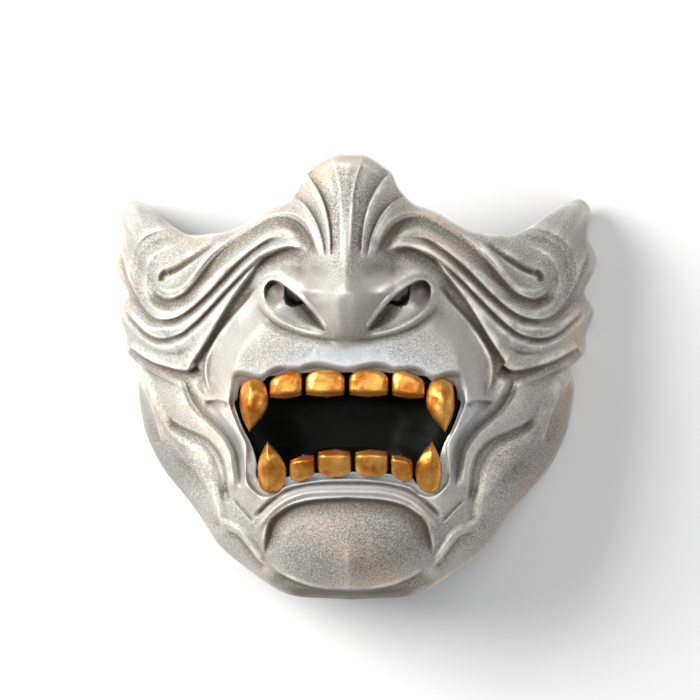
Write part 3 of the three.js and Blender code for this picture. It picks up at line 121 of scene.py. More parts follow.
# %% The strokes of the carving
CARVING = {
    "channel_a": [-3.4, 1.7, -3.4, 5.4, 0.1, 0.08, 0.5, 0.3, [[10.8, 45], [13, 50.4], [15, 55], [18, 59],
        [22, 61.7], [26.4, 62.6], [31, 62], [36, 59.4], [41, 56.4], [46, 53.2], [50.8, 49], [55.6, 43.8],
        [60.4, 37.8], [65, 33.2], [69.6, 30.8], [74, 30.6], [78, 33], [80, 37]]],
    "channel_edge": [1.2, 3.2, -0.8, 1.2, 0.15, 0.3, 0.4, 0.6, [[9.6, 44.4], [12, 50.4], [13.6, 55.6],
        [16.2, 60], [20, 63.2], [25, 64.6], [31, 64], [36.8, 61.4], [42, 58.2], [47, 54.8], [52, 50.4],
        [57, 45.6], [61.6, 39.8], [66.4, 36], [69.6, 34.6]]],
    "curl_ridge": [1.3, 1.5, 1.3, 1.6, 0.15, 0.15, 0.5, 0.3, [[49, 56], [56.8, 47.4], [61, 41.6],
        [64.4, 37.6], [67.4, 35.6], [70.6, 34.6], [74.2, 34.8], [76.8, 37], [77.6, 40.8]]],
    "curl_rim": [0.8, 1.4, 0.8, 2, 0.15, 0.3, 0.5, 0.3, [[68, 27.4], [74, 26.6], [79.6, 29.4], [82.4, 35],
        [82.4, 42], [79.4, 48], [73, 52], [64, 53.8]]],
    "curl_pit": [-3, 2, -3, 2, 0.3, 0.3, 0.4, 0.2, [[72.4, 42.4], [74.8, 40.8], [75.4, 37.8]]],
    "teardrop": [-2.8, 2.6, -2.8, 1.2, 0.3, 0.1, 0.5, 0.2, [[50.6, 55.4], [57.4, 50.4], [63.6, 46],
        [69.4, 42.6], [74, 41]]],
    "ring_step": [-1, 4, 1.2, 6, 0.15, 0.15, 0.8, 0.5, [[85, 30], [89, 37], [89.2, 44], [87, 51],
        [82, 56.4], [75, 59.2], [67, 59.4], [59, 58.4]]],
    "ring_trough": [-1.4, 4, -1.4, 2.4, 0.2, 0.25, 0.6, 0.4, [[80, 25.4], [84.2, 30.4], [86.2, 37],
        [85.8, 44], [83, 50], [78, 54.4], [70, 56], [61, 56.4]]],
    "ridge_b": [1, 1.4, 1, 3.6, 0.12, 0.2, 0.5, 0.3, [[18, 54.5], [24.6, 58.2], [30, 57.6], [36, 54.2],
        [41.5, 50], [46.5, 46], [51.5, 42], [56.5, 38], [61.5, 34], [66.6, 31]]],
    "groove_b": [-3.1, 1.1, -3.1, 3, 0.12, 0.1, 0.5, 0.4, [[22, 54.6], [30, 54.2], [36.5, 50.6],
        [41.5, 46.8], [46.5, 42.4], [51.5, 37.2], [56.5, 32.2], [61.5, 27.8], [66.5, 24.4], [71.5, 22.8],
        [76.5, 22.8], [81, 25], [84.6, 28.8], [87.6, 33.6], [90, 38.6], [92, 44], [93.8, 49.6],
        [94.8, 54.6]]],
    "ridge_c": [1, 1, 1, 2, 0.12, 0.1, 0.5, 0.3, [[24, 52], [30, 51.6], [36.5, 47.6], [41.5, 43.6],
        [46.5, 39], [51.5, 33.6], [56.5, 28.8], [61.5, 24.6], [66.5, 21.2], [71.5, 19.7], [76.5, 19.6],
        [81.5, 20.8], [86.5, 24.6], [90, 29], [93, 34]]],
    "groove_c": [-2.8, 1, -2.8, 2.2, 0.12, 0.1, 0.5, 0.4, [[26, 50.4], [31, 48.8], [36.5, 45],
        [41.5, 40.8], [46.5, 35.8], [51.5, 30.6], [56.5, 25.4], [61.5, 20.8], [66.5, 17.2], [71.5, 15.6],
        [76.5, 15.3], [81.5, 17.2], [86.5, 21.2], [90.5, 25.4], [93.2, 29.6]]],
    "ridge_d": [0.9, 0.9, 0.9, 2.4, 0.12, 0.1, 0.5, 0.3, [[31, 46.4], [36.5, 42.8], [41.5, 38.6],
        [46.5, 33.4], [51.5, 28], [56.5, 22.8], [61.5, 18.2], [66.5, 14.4], [71.5, 13], [76.5, 12.8],
        [81.5, 14.6], [86, 17.2], [91, 21]]],
    "groove_d": [-1.2, 1.6, -1.2, 1.8, 0.3, 0.15, 0.5, 0, [[58, 14.6], [66, 10.4], [72, 9.6], [78, 10.8],
        [84, 14], [89.6, 18]]],
    "flap_edge": [2, 6, -2.4, 3.6, 0.08, 0.08, 0.6, 0.4, [[16, 50], [24, 51.2], [32, 47.8], [36, 44.2],
        [44, 33.6], [48, 27.8], [56, 14.6], [60, 8.6], [64, 2.4]]],
    "flap_trough": [-1.5, 4.4, -1.5, 4.4, 0.15, 0.1, 0.5, 0, [[18, 50], [26, 48], [33, 42.4], [39, 34.8],
        [51, 19.6], [57, 11], [60.4, 4], [61, -2]]],
    "flap_foot": [2.8, 6, -4.6, 5.4, 0.04, 0.04, 0.5, 0.5, [[60, 5.4], [63.6, 3], [67, 3], [72, 4.2],
        [80, 6.8], [90.4, 12.8]]],
    "muzzle_edge": [2, 7, -2.4, 4, 0.15, 0.15, 0.7, 0.6, [[54, -8], [56, -2.6], [56.8, 2], [56.2, 8],
        [52, 16], [46.5, 23.4], [40, 30.6], [34.6, 37.2]]],
    "muzzle_foot": [-2.2, 6, 0.7, 3, 0.2, 0.2, 0.7, 0.4, [[57.4, -9], [54, -9], [50.6, -8.8],
        [47.6, -9.8], [45.4, -12]]],
    "frame_edge": [-0.8, 2, 1.6, 4, 0.15, 0.2, 0.7, 0.6, [[52.6, -11.4], [48.4, -16.4], [44, -22.2],
        [41.2, -28.8], [40.4, -36], [40, -42]]],
    "mouth_bead": [1.4, 3.2, 1, 3, 0.15, 0.15, 0.5, 0.1, [[47, -9], [42.4, -20], [40, -25], [39.4, -30],
        [40, -36], [38.6, -42], [34, -46]]],
    "cheek_crest": [1.8, 2, 1.8, 3, 0.2, 0.3, 0.5, 0.6, [[62.4, 0.6], [59.6, -6], [55.6, -12.4]]],
    "cheek_groove": [-2, 1.2, -2.4, 3, 0.1, 0.12, 0.5, 0.5, [[65.4, 1.4], [62.6, -6.6], [58.4, -12.8],
        [52.8, -17.8], [48, -22.6], [44.6, -28.4], [43.2, -36], [42, -44]]],
    "cheek_fold": [2.8, 7, 2.8, 1.5, 0.1, 0.12, 0.5, 0.8, [[68.2, 1], [65.6, -7], [61.4, -13.6],
        [55, -19], [50, -24], [46.8, -29.6], [45.6, -37], [44.6, -45]]],
    "jaw_fold": [4.2, 6.6, 4, 3.4, 0.06, 0.08, 0.5, 0.7, [[88.4, 8], [84.6, 2], [81, -4.4], [77.6, -11.6],
        [73.6, -19.2], [67, -25.4], [59.6, -29], [55.4, -34.6], [53.4, -43], [52, -51], [51, -59]]],
    "jaw_fold_foot": [1.2, 4, -2.8, 7, 0.12, 0.2, 0.6, 0.6, [[76, -27], [79, -16], [82.4, -8], [86, -2],
        [89, 4]]],
    "sweep_groove": [-2.8, 3.4, -2.8, 1.5, 0.1, 0.12, 0.5, 0.5, [[73, -15], [70, -18.4], [63.6, -21.4],
        [56.4, -24.6], [51.6, -29.4], [49.2, -35.6], [48.2, -43.6], [47, -50]]],
    "leaf_outer": [0.8, 5, -2.4, 9, 0.08, 0.2, 1.2, 0.7, [[51, -61], [52, -52], [55.2, -45], [60, -38.6],
        [66.4, -33], [73, -29]]],
    "lower_leaf": [2.2, 2.6, 2.2, 2, 0.15, 0.15, 0.5, 0.5, [[52, -57], [49.4, -56.8], [41.4, -61.4],
        [33.4, -73]]],
    "lower_leaf_foot": [1, 3, -2.6, 6, 0.12, 0.2, 0.6, 0.4, [[32, -75], [35.6, -72], [42, -63.6],
        [46, -61], [50.6, -60]]],
    "lip_groove": [-2.4, 1.6, -2.4, 1.3, 0, 0.12, 0.5, 0.2, [[0, -41.4], [8, -41.5], [16, -42.2],
        [24.4, -44.6], [31, -49.2], [37.4, -55.4]]],
    "lip_ridge": [1.8, 1.9, 1.8, 2, 0, 0.15, 0.5, 0.1, [[0, -44.4], [14, -44.9], [22.4, -47.2],
        [28.6, -51.2], [33.4, -56.4], [35.8, -61]]],
    "chin_top": [0.8, 2.5, -4.2, 8, 0, 0.25, 0.7, 0.4, [[0, -47.2], [13, -48], [21, -49.8], [26.6, -52.8],
        [31, -57.4], [33, -67.2], [32, -72]]],
    "chin_hem": [0.9, 3, -7, 30, 0, 0.3, 0.5, 1, [[0, -83.6], [8, -83.3], [16, -81.8], [22, -79.6],
        [27, -77], [31, -73.6]]],
    "lip_corner": [-1.4, 1, -1.4, 1.4, 0.2, 0.2, 0.5, 0.3, [[45.6, -47.4], [42.4, -50.6], [39.4, -53.8],
        [36.6, -57]]],
    "wing_crest": [2.2, 5, 1.8, 2.6, 0.25, 0.2, 0.5, 0.3, [[11, 31], [17, 35.4], [22.4, 38.8], [27, 40.8],
        [31.4, 40.6], [34.8, 37.6], [35, 33]]],
    "wing_crease": [-1.5, 4, -1.5, 3.4, 0.2, 0.2, 0.5, 0, [[12, 47.6], [18, 48], [26, 48.4], [33, 45],
        [38, 39]]],
    "nose_edge": [1.4, 0.9, 1.2, 2.4, 0.15, 0.2, 0.5, 0.3, [[7.2, 18.6], [11, 24.8], [14.4, 29],
        [18, 33]]],
    "nostril_rim": [0.6, 1.2, 1.6, 2, 0.15, 0.15, 0.5, 0.3, [[8, 17.4], [12, 17.8], [16.4, 18.8],
        [21.4, 20.4], [26.6, 22.9], [31, 26.8], [33.6, 30.6]]],
    "nostril_foot": [-1.6, 1.6, -1.2, 3, 0.2, 0.2, 0.5, 0.2, [[0, 14], [8, 14.6], [17, 16.2],
        [22.6, 17.9], [28.4, 20.9], [33.4, 25.6], [36.4, 31]]],
    "ridge_side": [-0.5, 3, 0.9, 1.6, 0.04, 0.25, 0.4, 0.6, [[6.6, 87], [5.2, 82], [3.8, 77], [3, 72],
        [2.7, 66], [2.4, 58], [2.2, 50], [2.2, 44]]],
    "flute_inner": [0.9, 3.6, -2.3, 6, 0.04, 0.2, 0.45, 0.75, [[16.6, 81], [12.6, 75.6], [9.6, 70],
        [7.9, 65], [6.7, 59.4], [6, 52], [6, 45]]],
    "flute_groove": [0.4, 1.4, -1.9, 5.4, 0.06, 0.15, 0.4, 0.75, [[23, 72.4], [20, 70.4], [16.4, 67.6],
        [13.6, 64], [11.2, 59.4], [9.2, 53.4], [8.2, 46]]],
    "flute_outer": [0.8, 1.8, 0.9, 1.2, 0.1, 0.2, 0.4, 0.4, [[25.4, 71], [21.6, 68.8], [17.6, 65.8],
        [14.6, 62], [12.2, 57.4], [10.2, 51], [9, 46]]],
}
print("strokes:", len(CARVING))

# %% [markdown]
# A casting of this kind has a wall of a few millimetres, thicker where it must not tear. These sizes are
# named once, because the shell, the lining and the teeth all have to agree on them.

# %% Sizes of the casting
WALL = 3.2  # wall at the rim and behind the deepest grooves
TOP_RIM_DROP = 2.6  # how far the inside stands behind the outside along the raised top edge
GUM_DEPTH = 3.2  # recess that the teeth stand in, below the lips
PIECE_GAP = 0.45  # air between neighbouring pieces
LIP_EDGE = 0.45  # the step from lip to gum begins this far outside the lip line
LIP_UNDERSIDE = 2.9  # and the upper lip's shaded underside ends this far inside of it
FRONT_HEIGHT = 84.0
MUZZLE_RISE = 5.5
CHIN_RISE = 6.0
SIDE_FALL = 20  # the domed front falls this much towards the sides, the brow and the chin
BROW_FALL = 5
CHIN_FALL = 4
FALL_POWER = 2.1
PLATE_RISE = 7  # the muzzle's plate stands this much proud of the cheeks
TEMPLE_HOLLOW = 7
NOSE_WING = 12
MUZZLE_CORNER = 43.0  # the front of the muzzle turns into its side here
MUZZLE_SLANT = 0.34
THINNEST = 2.4
CHIN_KEEL = 1.1
NOSTRIL_RECESS = 8.0
STEEP_CARVING = 0.35  # the carving is this much flatter where the side falls steeply
RIM_ROUNDING = 0.4
print("wall:", WALL, "mm")

# %% [markdown]
# Lines are smoothed with a Catmull-Rom spline, which passes through every point that was given. Distances
# to a line are measured for all points of the surface at once with numpy, which is far faster than a loop
# over vertices.

# %% Helpers for smooth lines
def ease(value):
    t = np.clip(value, 0.0, 1.0)
    return t * t * (3.0 - 2.0 * t)


def mix(a, b, share):
    return a + (b - a) * share


def smooth_line(points, steps=6):
    p = np.asarray(points, float)
    p = np.vstack([2 * p[0] - p[1], p, 2 * p[-1] - p[-2]])
    t = (np.arange(steps) / steps)[:, None]
    parts = []
    for a, b, c, d in zip(p, p[1:], p[2:], p[3:]):
        curve = (2 * a - 5 * b + 4 * c - d) * t * t + (3 * b - a - 3 * c + d) * t ** 3
        parts.append(0.5 * (2 * b + (c - a) * t + curve))
    return np.vstack([*parts, p[-2]])


def lengths_along(line):
    return np.concatenate([[0.0], np.cumsum(np.hypot(*np.diff(line, axis=0).T))])


def point_at(line, length):
    lengths = lengths_along(line)
    return np.stack([np.interp(length, lengths, line[:, k]) for k in (0, 1)], axis=-1)


def locate(x, y, line):
    """Distance from a line, positive on its left, and the share of its length at the nearest place."""
    lengths = lengths_along(line)
    best = np.full(np.shape(x), np.inf)
    side = np.ones(np.shape(x))
    along = np.zeros(np.shape(x))
    for i in range(len(line) - 1):
        ax, ay = line[i]
        ex, ey = line[i + 1] - line[i]
        t = np.clip(((x - ax) * ex + (y - ay) * ey) / (ex * ex + ey * ey + 1e-12), 0.0, 1.0)
        gap = (x - ax - t * ex) ** 2 + (y - ay - t * ey) ** 2
        nearer = gap < best - 1e-9
        best = np.where(nearer, gap, best)
        side = np.where(nearer, np.where(ex * (y - ay) - ey * (x - ax) >= 0, 1.0, -1.0), side)
        along = np.where(nearer, mix(lengths[i], lengths[i + 1], t), along)
    return np.sqrt(best) * side, along / lengths[-1]


def is_inside(x, y, line):
    inside = np.zeros(np.shape(x), bool)
    for (x1, y1), (x2, y2) in zip(np.roll(line, 1, axis=0), line):
        if y1 != y2:
            inside ^= ((y1 > y) != (y2 > y)) & (x < (x2 - x1) * (y - y1) / (y2 - y1) + x1)
    return inside


rim = smooth_line(RIM_LINE, 10)
mouth = smooth_line(MOUTH_LINE, 10)
lip = smooth_line(LIP_LINE, 5)
muzzle = smooth_line(MUZZLE_LINE, 6)
nostril = smooth_line(NOSTRIL_LINE, 4)
NOSTRIL_TOP = 9 * 4 + 1  # points of the nostril's edge before its inner corner
nose_height = smooth_line(NOSE_HEIGHT, 5)
nose_width = smooth_line(NOSE_WIDTH, 5)
print("half of the rim is", round(lengths_along(rim)[-1], 1), "mm long")

# %% [markdown]
# The large forms come first: a domed front, the muzzle plate that stands proud of the cheeks, hollow
# temples, a ball for the chin, and the hooked nose with its two wings.

# %% Large forms
def mouth_front(x, y):
    up = np.maximum(0.0, (y - 10) / 80)
    down = np.maximum(0.0, (-y - 30) / 60)
    side = (np.abs(x) / 90) ** FALL_POWER
    dome = FRONT_HEIGHT - SIDE_FALL * side - BROW_FALL * up * up - CHIN_FALL * down * down
    return dome + MUZZLE_RISE * ease((y + 44) / 16)


def front(x, y):
    ax = np.abs(x)
    distance, _ = locate(ax, y, muzzle)
    width = mix(4.2, 13.5, ease((y + 14) / 16))
    risen = mix(ease((distance + 0.5) / width), 1.0, ease((y - 36) / 14))
    plate = ease((y + 44) / 16) * PLATE_RISE * (risen - 1)
    window = ease((y + 12) / 10) * ease((42 - y) / 16) * ease((distance + 0.5) / 3)
    side_plane = -MUZZLE_SLANT * np.maximum(0.0, ax - MUZZLE_CORNER) * window
    temple = -TEMPLE_HOLLOW * np.exp(-(((ax - 70) / 22) ** 2 + ((y - 46) / 20) ** 2))
    chin = CHIN_RISE * (1 - ease((np.hypot(ax / 37, (y + 66) / 25) - 0.1) / 0.95))
    return mouth_front(x, y) + plate + side_plane + temple + chin


def nose(x, y):
    ax = np.abs(x)
    rise = np.interp(y, nose_height[:, 0], nose_height[:, 1])
    side = np.clip(ax / np.interp(y, nose_width[:, 0], nose_width[:, 1]), 0.0, 1.0)
    roof = ease((y - 30) / 4) * (1 - 0.8 * ease((y - 42) / 16))
    under = ease((37 - y) / 9)
    ridged = mix(ease(side), np.sqrt(side * side + 0.006) - 0.075, 0.75 * roof)
    ridge = rise * (1 - np.minimum(1.0, mix(ridged, ease((side - 0.12) / 0.88), under)))
    wing = np.clip(np.hypot((ax - 22) / 18, (y - 33) / 15), 0.0, 1.0)
    return np.where(y <= 12, 0.0, ridge + NOSE_WING * (0.5 + 0.5 * np.cos(np.pi * wing)))


print("nose tip stands", round(float(nose(0.0, 33.0)), 1), "mm above the front")

# %% [markdown]
# Each stroke only reaches a few millimetres to its sides, so it is worked out just for the points in its
# own box. The deepest part of the nostril and the keel of the chin are added at the end.

# %% Carving
def carving(x, y):
    ax = np.abs(x)
    height = np.zeros(x.shape)
    for left_height, left_width, right_height, right_width, fade_in, fade_out, edge, straight, path in (
            CARVING.values()):
        line = smooth_line(path, 6)
        reach = max(left_width, right_width) + 1
        low, high = line.min(axis=0) - reach, line.max(axis=0) + reach
        near = (ax > low[0]) & (ax < high[0]) & (y > low[1]) & (y < high[1])
        distance, share = locate(ax[near], y[near], line)

        def fall(value, straight=straight):
            t = np.clip(value, 0.0, 1.0)
            return (1 - straight) * (0.5 + 0.5 * np.cos(np.pi * t)) + straight * (1 - t)

        left = ease(distance / edge * 0.5 + 0.5)
        cut = left * left_height * fall(distance / left_width)
        cut += (1 - left) * right_height * fall(-distance / right_width)
        if fade_in:
            cut *= ease(share / fade_in)
        if fade_out:
            cut *= ease((1 - share) / fade_out)
        height[near] += cut
    in_nostril = is_inside(ax, y, nostril)
    hollow_x, hollow_y = ax[in_nostril], y[in_nostril]
    from_top, _ = locate(hollow_x, hollow_y, nostril[:NOSTRIL_TOP])
    from_foot, _ = locate(hollow_x, hollow_y, nostril[NOSTRIL_TOP:])
    slope = np.abs(from_foot) / (np.abs(from_foot) + np.abs(from_top) + 0.4)
    height[in_nostril] -= NOSTRIL_RECESS * ease(np.abs(from_top) / 1.2) * ease(slope * 1.15)
    return height + CHIN_KEEL * np.clip(1 - ax / 6, 0.0, 1.0) * ease((-58 - y) / 14)


def gum_share(x, y):
    ax = np.abs(x)
    distance, _ = locate(ax, y, lip)
    distance = np.abs(distance) * np.where(is_inside(ax, y, lip), 1.0, -1.0)
    underside = mix(LIP_EDGE, LIP_UNDERSIDE, ease((y + 12) / 10))
    return ease((distance + LIP_EDGE) / (LIP_EDGE + underside))


# %% [markdown]
# The surface is surveyed on spokes that run from the mouth edge to the rim. On its way out the front rolls
# over until it stands on the rim, which is flat on the table from temple to jaw and raised at nose and chin.

# %% Spokes
ACROSS = 760  # spokes over half of the rim
OUTWARD = 260  # points on a spoke, outside
BEHIND = 56  # points on a spoke, inside


def spokes():
    def length_at(line, place):
        gaps = np.hypot(*(line - np.asarray(place[:2])).T)
        return lengths_along(line)[np.argmin(gaps)]

    total = lengths_along(rim)[-1]
    along = np.linspace(0.0, total, ACROSS + 1)
    outer = point_at(rim, along)
    run = point_at(rim, np.minimum(along + 0.6, total)) - point_at(rim, np.maximum(along - 0.6, 0.0))
    run /= np.hypot(*run.T)[:, None]
    inner = outer + WALL * np.stack([run[:, 1], -run[:, 0]], axis=-1)
    facing = [[length_at(rim, a) for a, _ in FACING], [length_at(mouth, b) for _, b in FACING]]
    start = point_at(mouth, np.interp(along, *facing))
    heights = [[length_at(rim, place) for place in RIM_HEIGHTS], [place[2] for place in RIM_HEIGHTS]]
    height = np.interp(along, *heights)
    roundness = np.interp(along / total, [0, 0.2, 0.7, 0.9, 1], [3.4, 3, 3, 6, 12])
    for ends in (start, outer, inner):
        ends[[0, -1], 0] = 0.0
    return start, outer, inner, height, roundness


def roll_off(t, roundness):
    near = 0.4
    reach = near + (1 - near) * t
    return np.sqrt(np.maximum(0.0, (1 - reach ** roundness) / (1 - near ** roundness)))


start, outer, inner, rim_height, roundness = spokes()
print("spokes:", len(start), "rim heights in mm:", rim_height.min(), "to", rim_height.max())

# %% [markdown]
# The outside gets the large forms, the nose and the carving. The inside of a cast shell is plainer, since a
# mould's core only follows the face roughly, so it takes the large forms and a smoothed version of the
# deepest cuts. It always stays at least the thinnest wall behind the outside.

# %% Survey both sides of the wall
def survey_face():
    t = np.linspace(0.0, 1.0, OUTWARD + 1)[None, :]
    x = mix(start[:, :1], outer[:, :1], t)
    y = mix(start[:, 1:], outer[:, 1:], t)
    left = roll_off(t, roundness[:, None])
    height = rim_height[:, None]
    cut = carving(x, y) * mix(STEEP_CARVING, 1.0, ease((left - 0.25) / 0.5))
    skin = height + (front(x, y) - height) * left + nose(x, y) * ease((1 - t) / 0.05) + cut
    gum = gum_share(x, y)
    z = mix(skin, mouth_front(x, y) - GUM_DEPTH, gum)
    z[:, -1] = rim_height
    return np.stack([x, y, z], axis=-1), cut, gum


def deepest_nearby(depth):
    def spread(rows, pick):
        near = []
        for axis, reach in ((0, 7 * ACROSS // 420), (1, 7 * OUTWARD // 190)):
            pads = [(reach, reach) if side == axis else (0, 0) for side in (0, 1)]
            wide = np.pad(rows, pads, mode="edge")
            near.append(pick([np.take(wide, np.arange(rows.shape[axis]) + k, axis=axis)
                              for k in range(2 * reach + 1)], axis=0))
        return pick(near, axis=0)

    return spread(spread(spread(depth, np.min), np.mean), np.mean)


def survey_back(face, cut):
    picked = np.linspace(0, OUTWARD, BEHIND + 1).round().astype(int)
    below = deepest_nearby(np.minimum(0.0, cut))[:, picked]
    t = (picked / OUTWARD)[None, :]
    x = mix(start[:, :1], inner[:, :1], t)
    y = mix(start[:, 1:], inner[:, 1:], t)
    left = roll_off(t, roundness[:, None])
    height = (rim_height - np.minimum(TOP_RIM_DROP, rim_height * 0.3))[:, None]
    behind = front(x, y) + 0.8 * nose(x, y) * ease((1 - t) / 0.12) - WALL * 1.15 + below
    general = height + (behind - height) * left
    flat = mouth_front(x, y) - GUM_DEPTH - WALL
    wanted = mix(flat, general, ease((t - 0.14) / 0.1))
    z = np.minimum(wanted, face[:, picked, 2] - THINNEST * left)
    return np.stack([x, y, z], axis=-1)


face, cut, gum = survey_face()
back = survey_back(face, cut)
print("survey points:", face.shape[0] * face.shape[1], "highest:", round(float(face[..., 2].max()), 1), "mm")

# %% [markdown]
# The two halves become one closed ring of spokes, and the outside, the rim and the inside become one
# closed skin, as a torus round the mouth. Its rim edges are rounded a little, as a casting's are. The
# dense skin is then thinned where it is plain, so that the points are spent on the carving.

# %% Helpers for meshes
def mesh_object(name, points, faces):
    """An object from points in millimetres and faces that all have the same number of corners."""
    faces = np.asarray(faces, np.int32)
    mesh = bpy.data.meshes.new(name)
    mesh.vertices.add(len(points))
    mesh.vertices.foreach_set("co", (np.asarray(points) * MM).ravel())
    mesh.loops.add(faces.size)
    mesh.loops.foreach_set("vertex_index", faces.ravel())
    mesh.polygons.add(len(faces))
    mesh.polygons.foreach_set("loop_start", np.arange(0, faces.size, faces.shape[1], dtype=np.int32))
    mesh.update(calc_edges=True)
    mesh.validate()
    made = bpy.data.objects.new(name, mesh)
    bpy.context.scene.collection.objects.link(made)
    return made


def work_in_modifiers(thing):
    """Replace the object's mesh by what its modifiers make of it."""
    bpy.context.view_layer.update()
    graph = bpy.context.evaluated_depsgraph_get()
    made = bpy.data.meshes.new_from_object(thing.evaluated_get(graph), depsgraph=graph)
    thing.modifiers.clear()
    old = thing.data
    thing.data = made
    bpy.data.meshes.remove(old)


def triangle_count(thing):
    return sum(len(face.vertices) - 2 for face in thing.data.polygons)


def grid_faces(wide, tall, round_wide, round_tall):
    """Corners of the squares of a grid of points, closed round one way or both."""
    i = np.arange(wide if round_wide else wide - 1)[:, None]
    j = np.arange(tall if round_tall else tall - 1)[None, :]
    a = i * tall + j
    b = (i + 1) % wide * tall + j
    c = (i + 1) % wide * tall + (j + 1) % tall
    d = i * tall + (j + 1) % tall
    return np.stack([a, b, c, d], axis=-1).reshape(-1, 4)


# %% Close the skin
def rim_rows(outside, inside):
    """Points over the rounded edge of the rim, from the outside to the inside."""
    rows = []
    for turn in np.radians([0, 30, 60, 90]):
        row = mix(outside, inside, RIM_ROUNDING * (1 - np.cos(turn)) / WALL)
        row[:, 2] += RIM_ROUNDING * (1 - np.sin(turn))
        rows.append(row)
    return rows


def both_halves(rows, flip=1):
    return np.concatenate([rows, rows[-2:0:-1] * flip], axis=0)


def closed_skin():
    over = rim_rows(face[:, -1], back[:, -1])
    over += rim_rows(back[:, -1], face[:, -1])[::-1]
    rows = np.concatenate([face[:, :-1], np.stack(over, axis=1), back[:, -2::-1]], axis=1)
    return both_halves(rows, np.array([-1, 1, 1]))


skin = closed_skin()
print("closed skin:", skin.shape[0], "by", skin.shape[1], "points")

# %% [markdown]
# The paint is lighter on crests and darker in creases, which is painted highlight and painted shade. How far
# each point stands out from a smoothed copy of the skin tells crest from crease, at two sizes: one for the
# sharp edges and one for the broad folds.

# %% Directions and creases of the skin
def surface_normals(points):
    across = np.roll(points, -1, axis=0) - np.roll(points, 1, axis=0)
    along = np.roll(points, -1, axis=1) - np.roll(points, 1, axis=1)
    normal = np.cross(across, along)
    normal /= np.linalg.norm(normal, axis=-1, keepdims=True) + 1e-12
    return normal * np.sign(normal[len(points) // 2 + 5, OUTWARD // 2, 2])


def standing_out(points, normal, strides):
    """How far each point stands above the smoothed skin: positive on crests, negative in creases."""
    smooth = points
    for stride in strides:
        near = [np.roll(smooth, step, axis=axis) for axis in (0, 1) for step in (-stride, stride)]
        smooth = 0.2 * smooth + 0.2 * sum(near)
    return np.sum((points - smooth) * normal, axis=-1)


skin_normal = surface_normals(skin)
on_face = np.zeros(skin.shape[:2])
on_face[:, :OUTWARD + 4] = 1
crest = standing_out(skin, skin_normal, (1, 2, 4, 4)) * on_face
fold = standing_out(skin, skin_normal, (2, 4, 8, 16, 16)) * on_face
skin_gum = np.zeros(skin.shape[:2])
skin_gum[:, :OUTWARD] = both_halves(gum[:, :OUTWARD])
print("crests in mm:", [round(float(v), 2) for v in np.percentile(crest[on_face > 0], [1, 50, 99])])

# %% [markdown]
# A Decimate modifier spends the triangles where the surface bends. The nostrils go right through the wall
# as slanted canals, so that is a Boolean with a slanted tube on each side, and what is cut is really open.

# %% Thin the skin and cut the nostrils
SKIN_TRIANGLES = 186_000
NOSTRIL_HOLE = {"x": 20.4, "y": 31, "z": 89, "long": 5.5, "short": 2.3, "turn": 0.58}
CANAL_SIDES = 48
CANAL_REACH = (79.0, 112.0)  # heights between which the canal is cut
NOSTRIL_SLOPE = 0.95  # the canal runs this far towards the brow for each millimetre that it goes in


def nostril_cutter(side):
    angle = np.linspace(0, 2 * np.pi, CANAL_SIDES, endpoint=False)
    u, v = NOSTRIL_HOLE["long"] * np.cos(angle), NOSTRIL_HOLE["short"] * np.sin(angle)
    turn = NOSTRIL_HOLE["turn"]
    x = NOSTRIL_HOLE["x"] + u * np.cos(turn) - v * np.sin(turn)
    y = NOSTRIL_HOLE["y"] + u * np.sin(turn) + v * np.cos(turn)
    rings = [np.stack([side * x, y + (NOSTRIL_HOLE["z"] - z) * NOSTRIL_SLOPE, np.full(CANAL_SIDES, z)],
                      axis=-1) for z in CANAL_REACH]
    walls = grid_faces(2, CANAL_SIDES, False, True)
    cutter = mesh_object("nostril_cutter", np.concatenate(rings), walls)
    close_holes(cutter)
    return cutter


def on_canal(place):
    across = np.abs(place[:, 0]) - NOSTRIL_HOLE["x"]
    up = place[:, 1] - NOSTRIL_HOLE["y"] - (NOSTRIL_HOLE["z"] - place[:, 2]) * NOSTRIL_SLOPE
    cos, sin = np.cos(NOSTRIL_HOLE["turn"]), np.sin(NOSTRIL_HOLE["turn"])
    u, v = across * cos + up * sin, up * cos - across * sin
    return np.hypot(u / NOSTRIL_HOLE["long"], v / NOSTRIL_HOLE["short"]) < 1.01


def close_holes(thing):
    shape = bmesh.new()
    shape.from_mesh(thing.data)
    bmesh.ops.holes_fill(shape, edges=shape.edges[:])
    bmesh.ops.recalc_face_normals(shape, faces=shape.faces[:])
    shape.to_mesh(thing.data)
    shape.free()


def build_mask():
    wide, tall = skin.shape[:2]
    faces = grid_faces(wide, tall, True, True)
    corner = skin.reshape(-1, 3)[faces]
    volume = np.einsum("ij,ij->i", corner[:, 0], np.cross(corner[:, 1], corner[:, 2])).sum()
    mask = mesh_object("mask_skin", skin.reshape(-1, 3), faces if volume > 0 else faces[:, ::-1])
    thin = mask.modifiers.new("thin", "DECIMATE")
    thin.ratio = SKIN_TRIANGLES / (2 * len(faces))
    work_in_modifiers(mask)
    for side in (1, -1):
        cutter = nostril_cutter(side)
        hole = mask.modifiers.new("nostril", "BOOLEAN")
        hole.operation, hole.object, hole.solver = "DIFFERENCE", cutter, "EXACT"
        work_in_modifiers(mask)
        bpy.data.objects.remove(cutter)
    return mask


mask = build_mask()
print("mask skin:", triangle_count(mask), "triangles")

# %% [markdown]
# Thinning keeps the shape but not the fine play of light, so every corner of the thinned mesh takes the
# direction of the dense skin where it lies nearest. In the same way it takes what the paint needs to
# know: how far a place stands out, whether it is gum, and where the casting is left rough as stone.

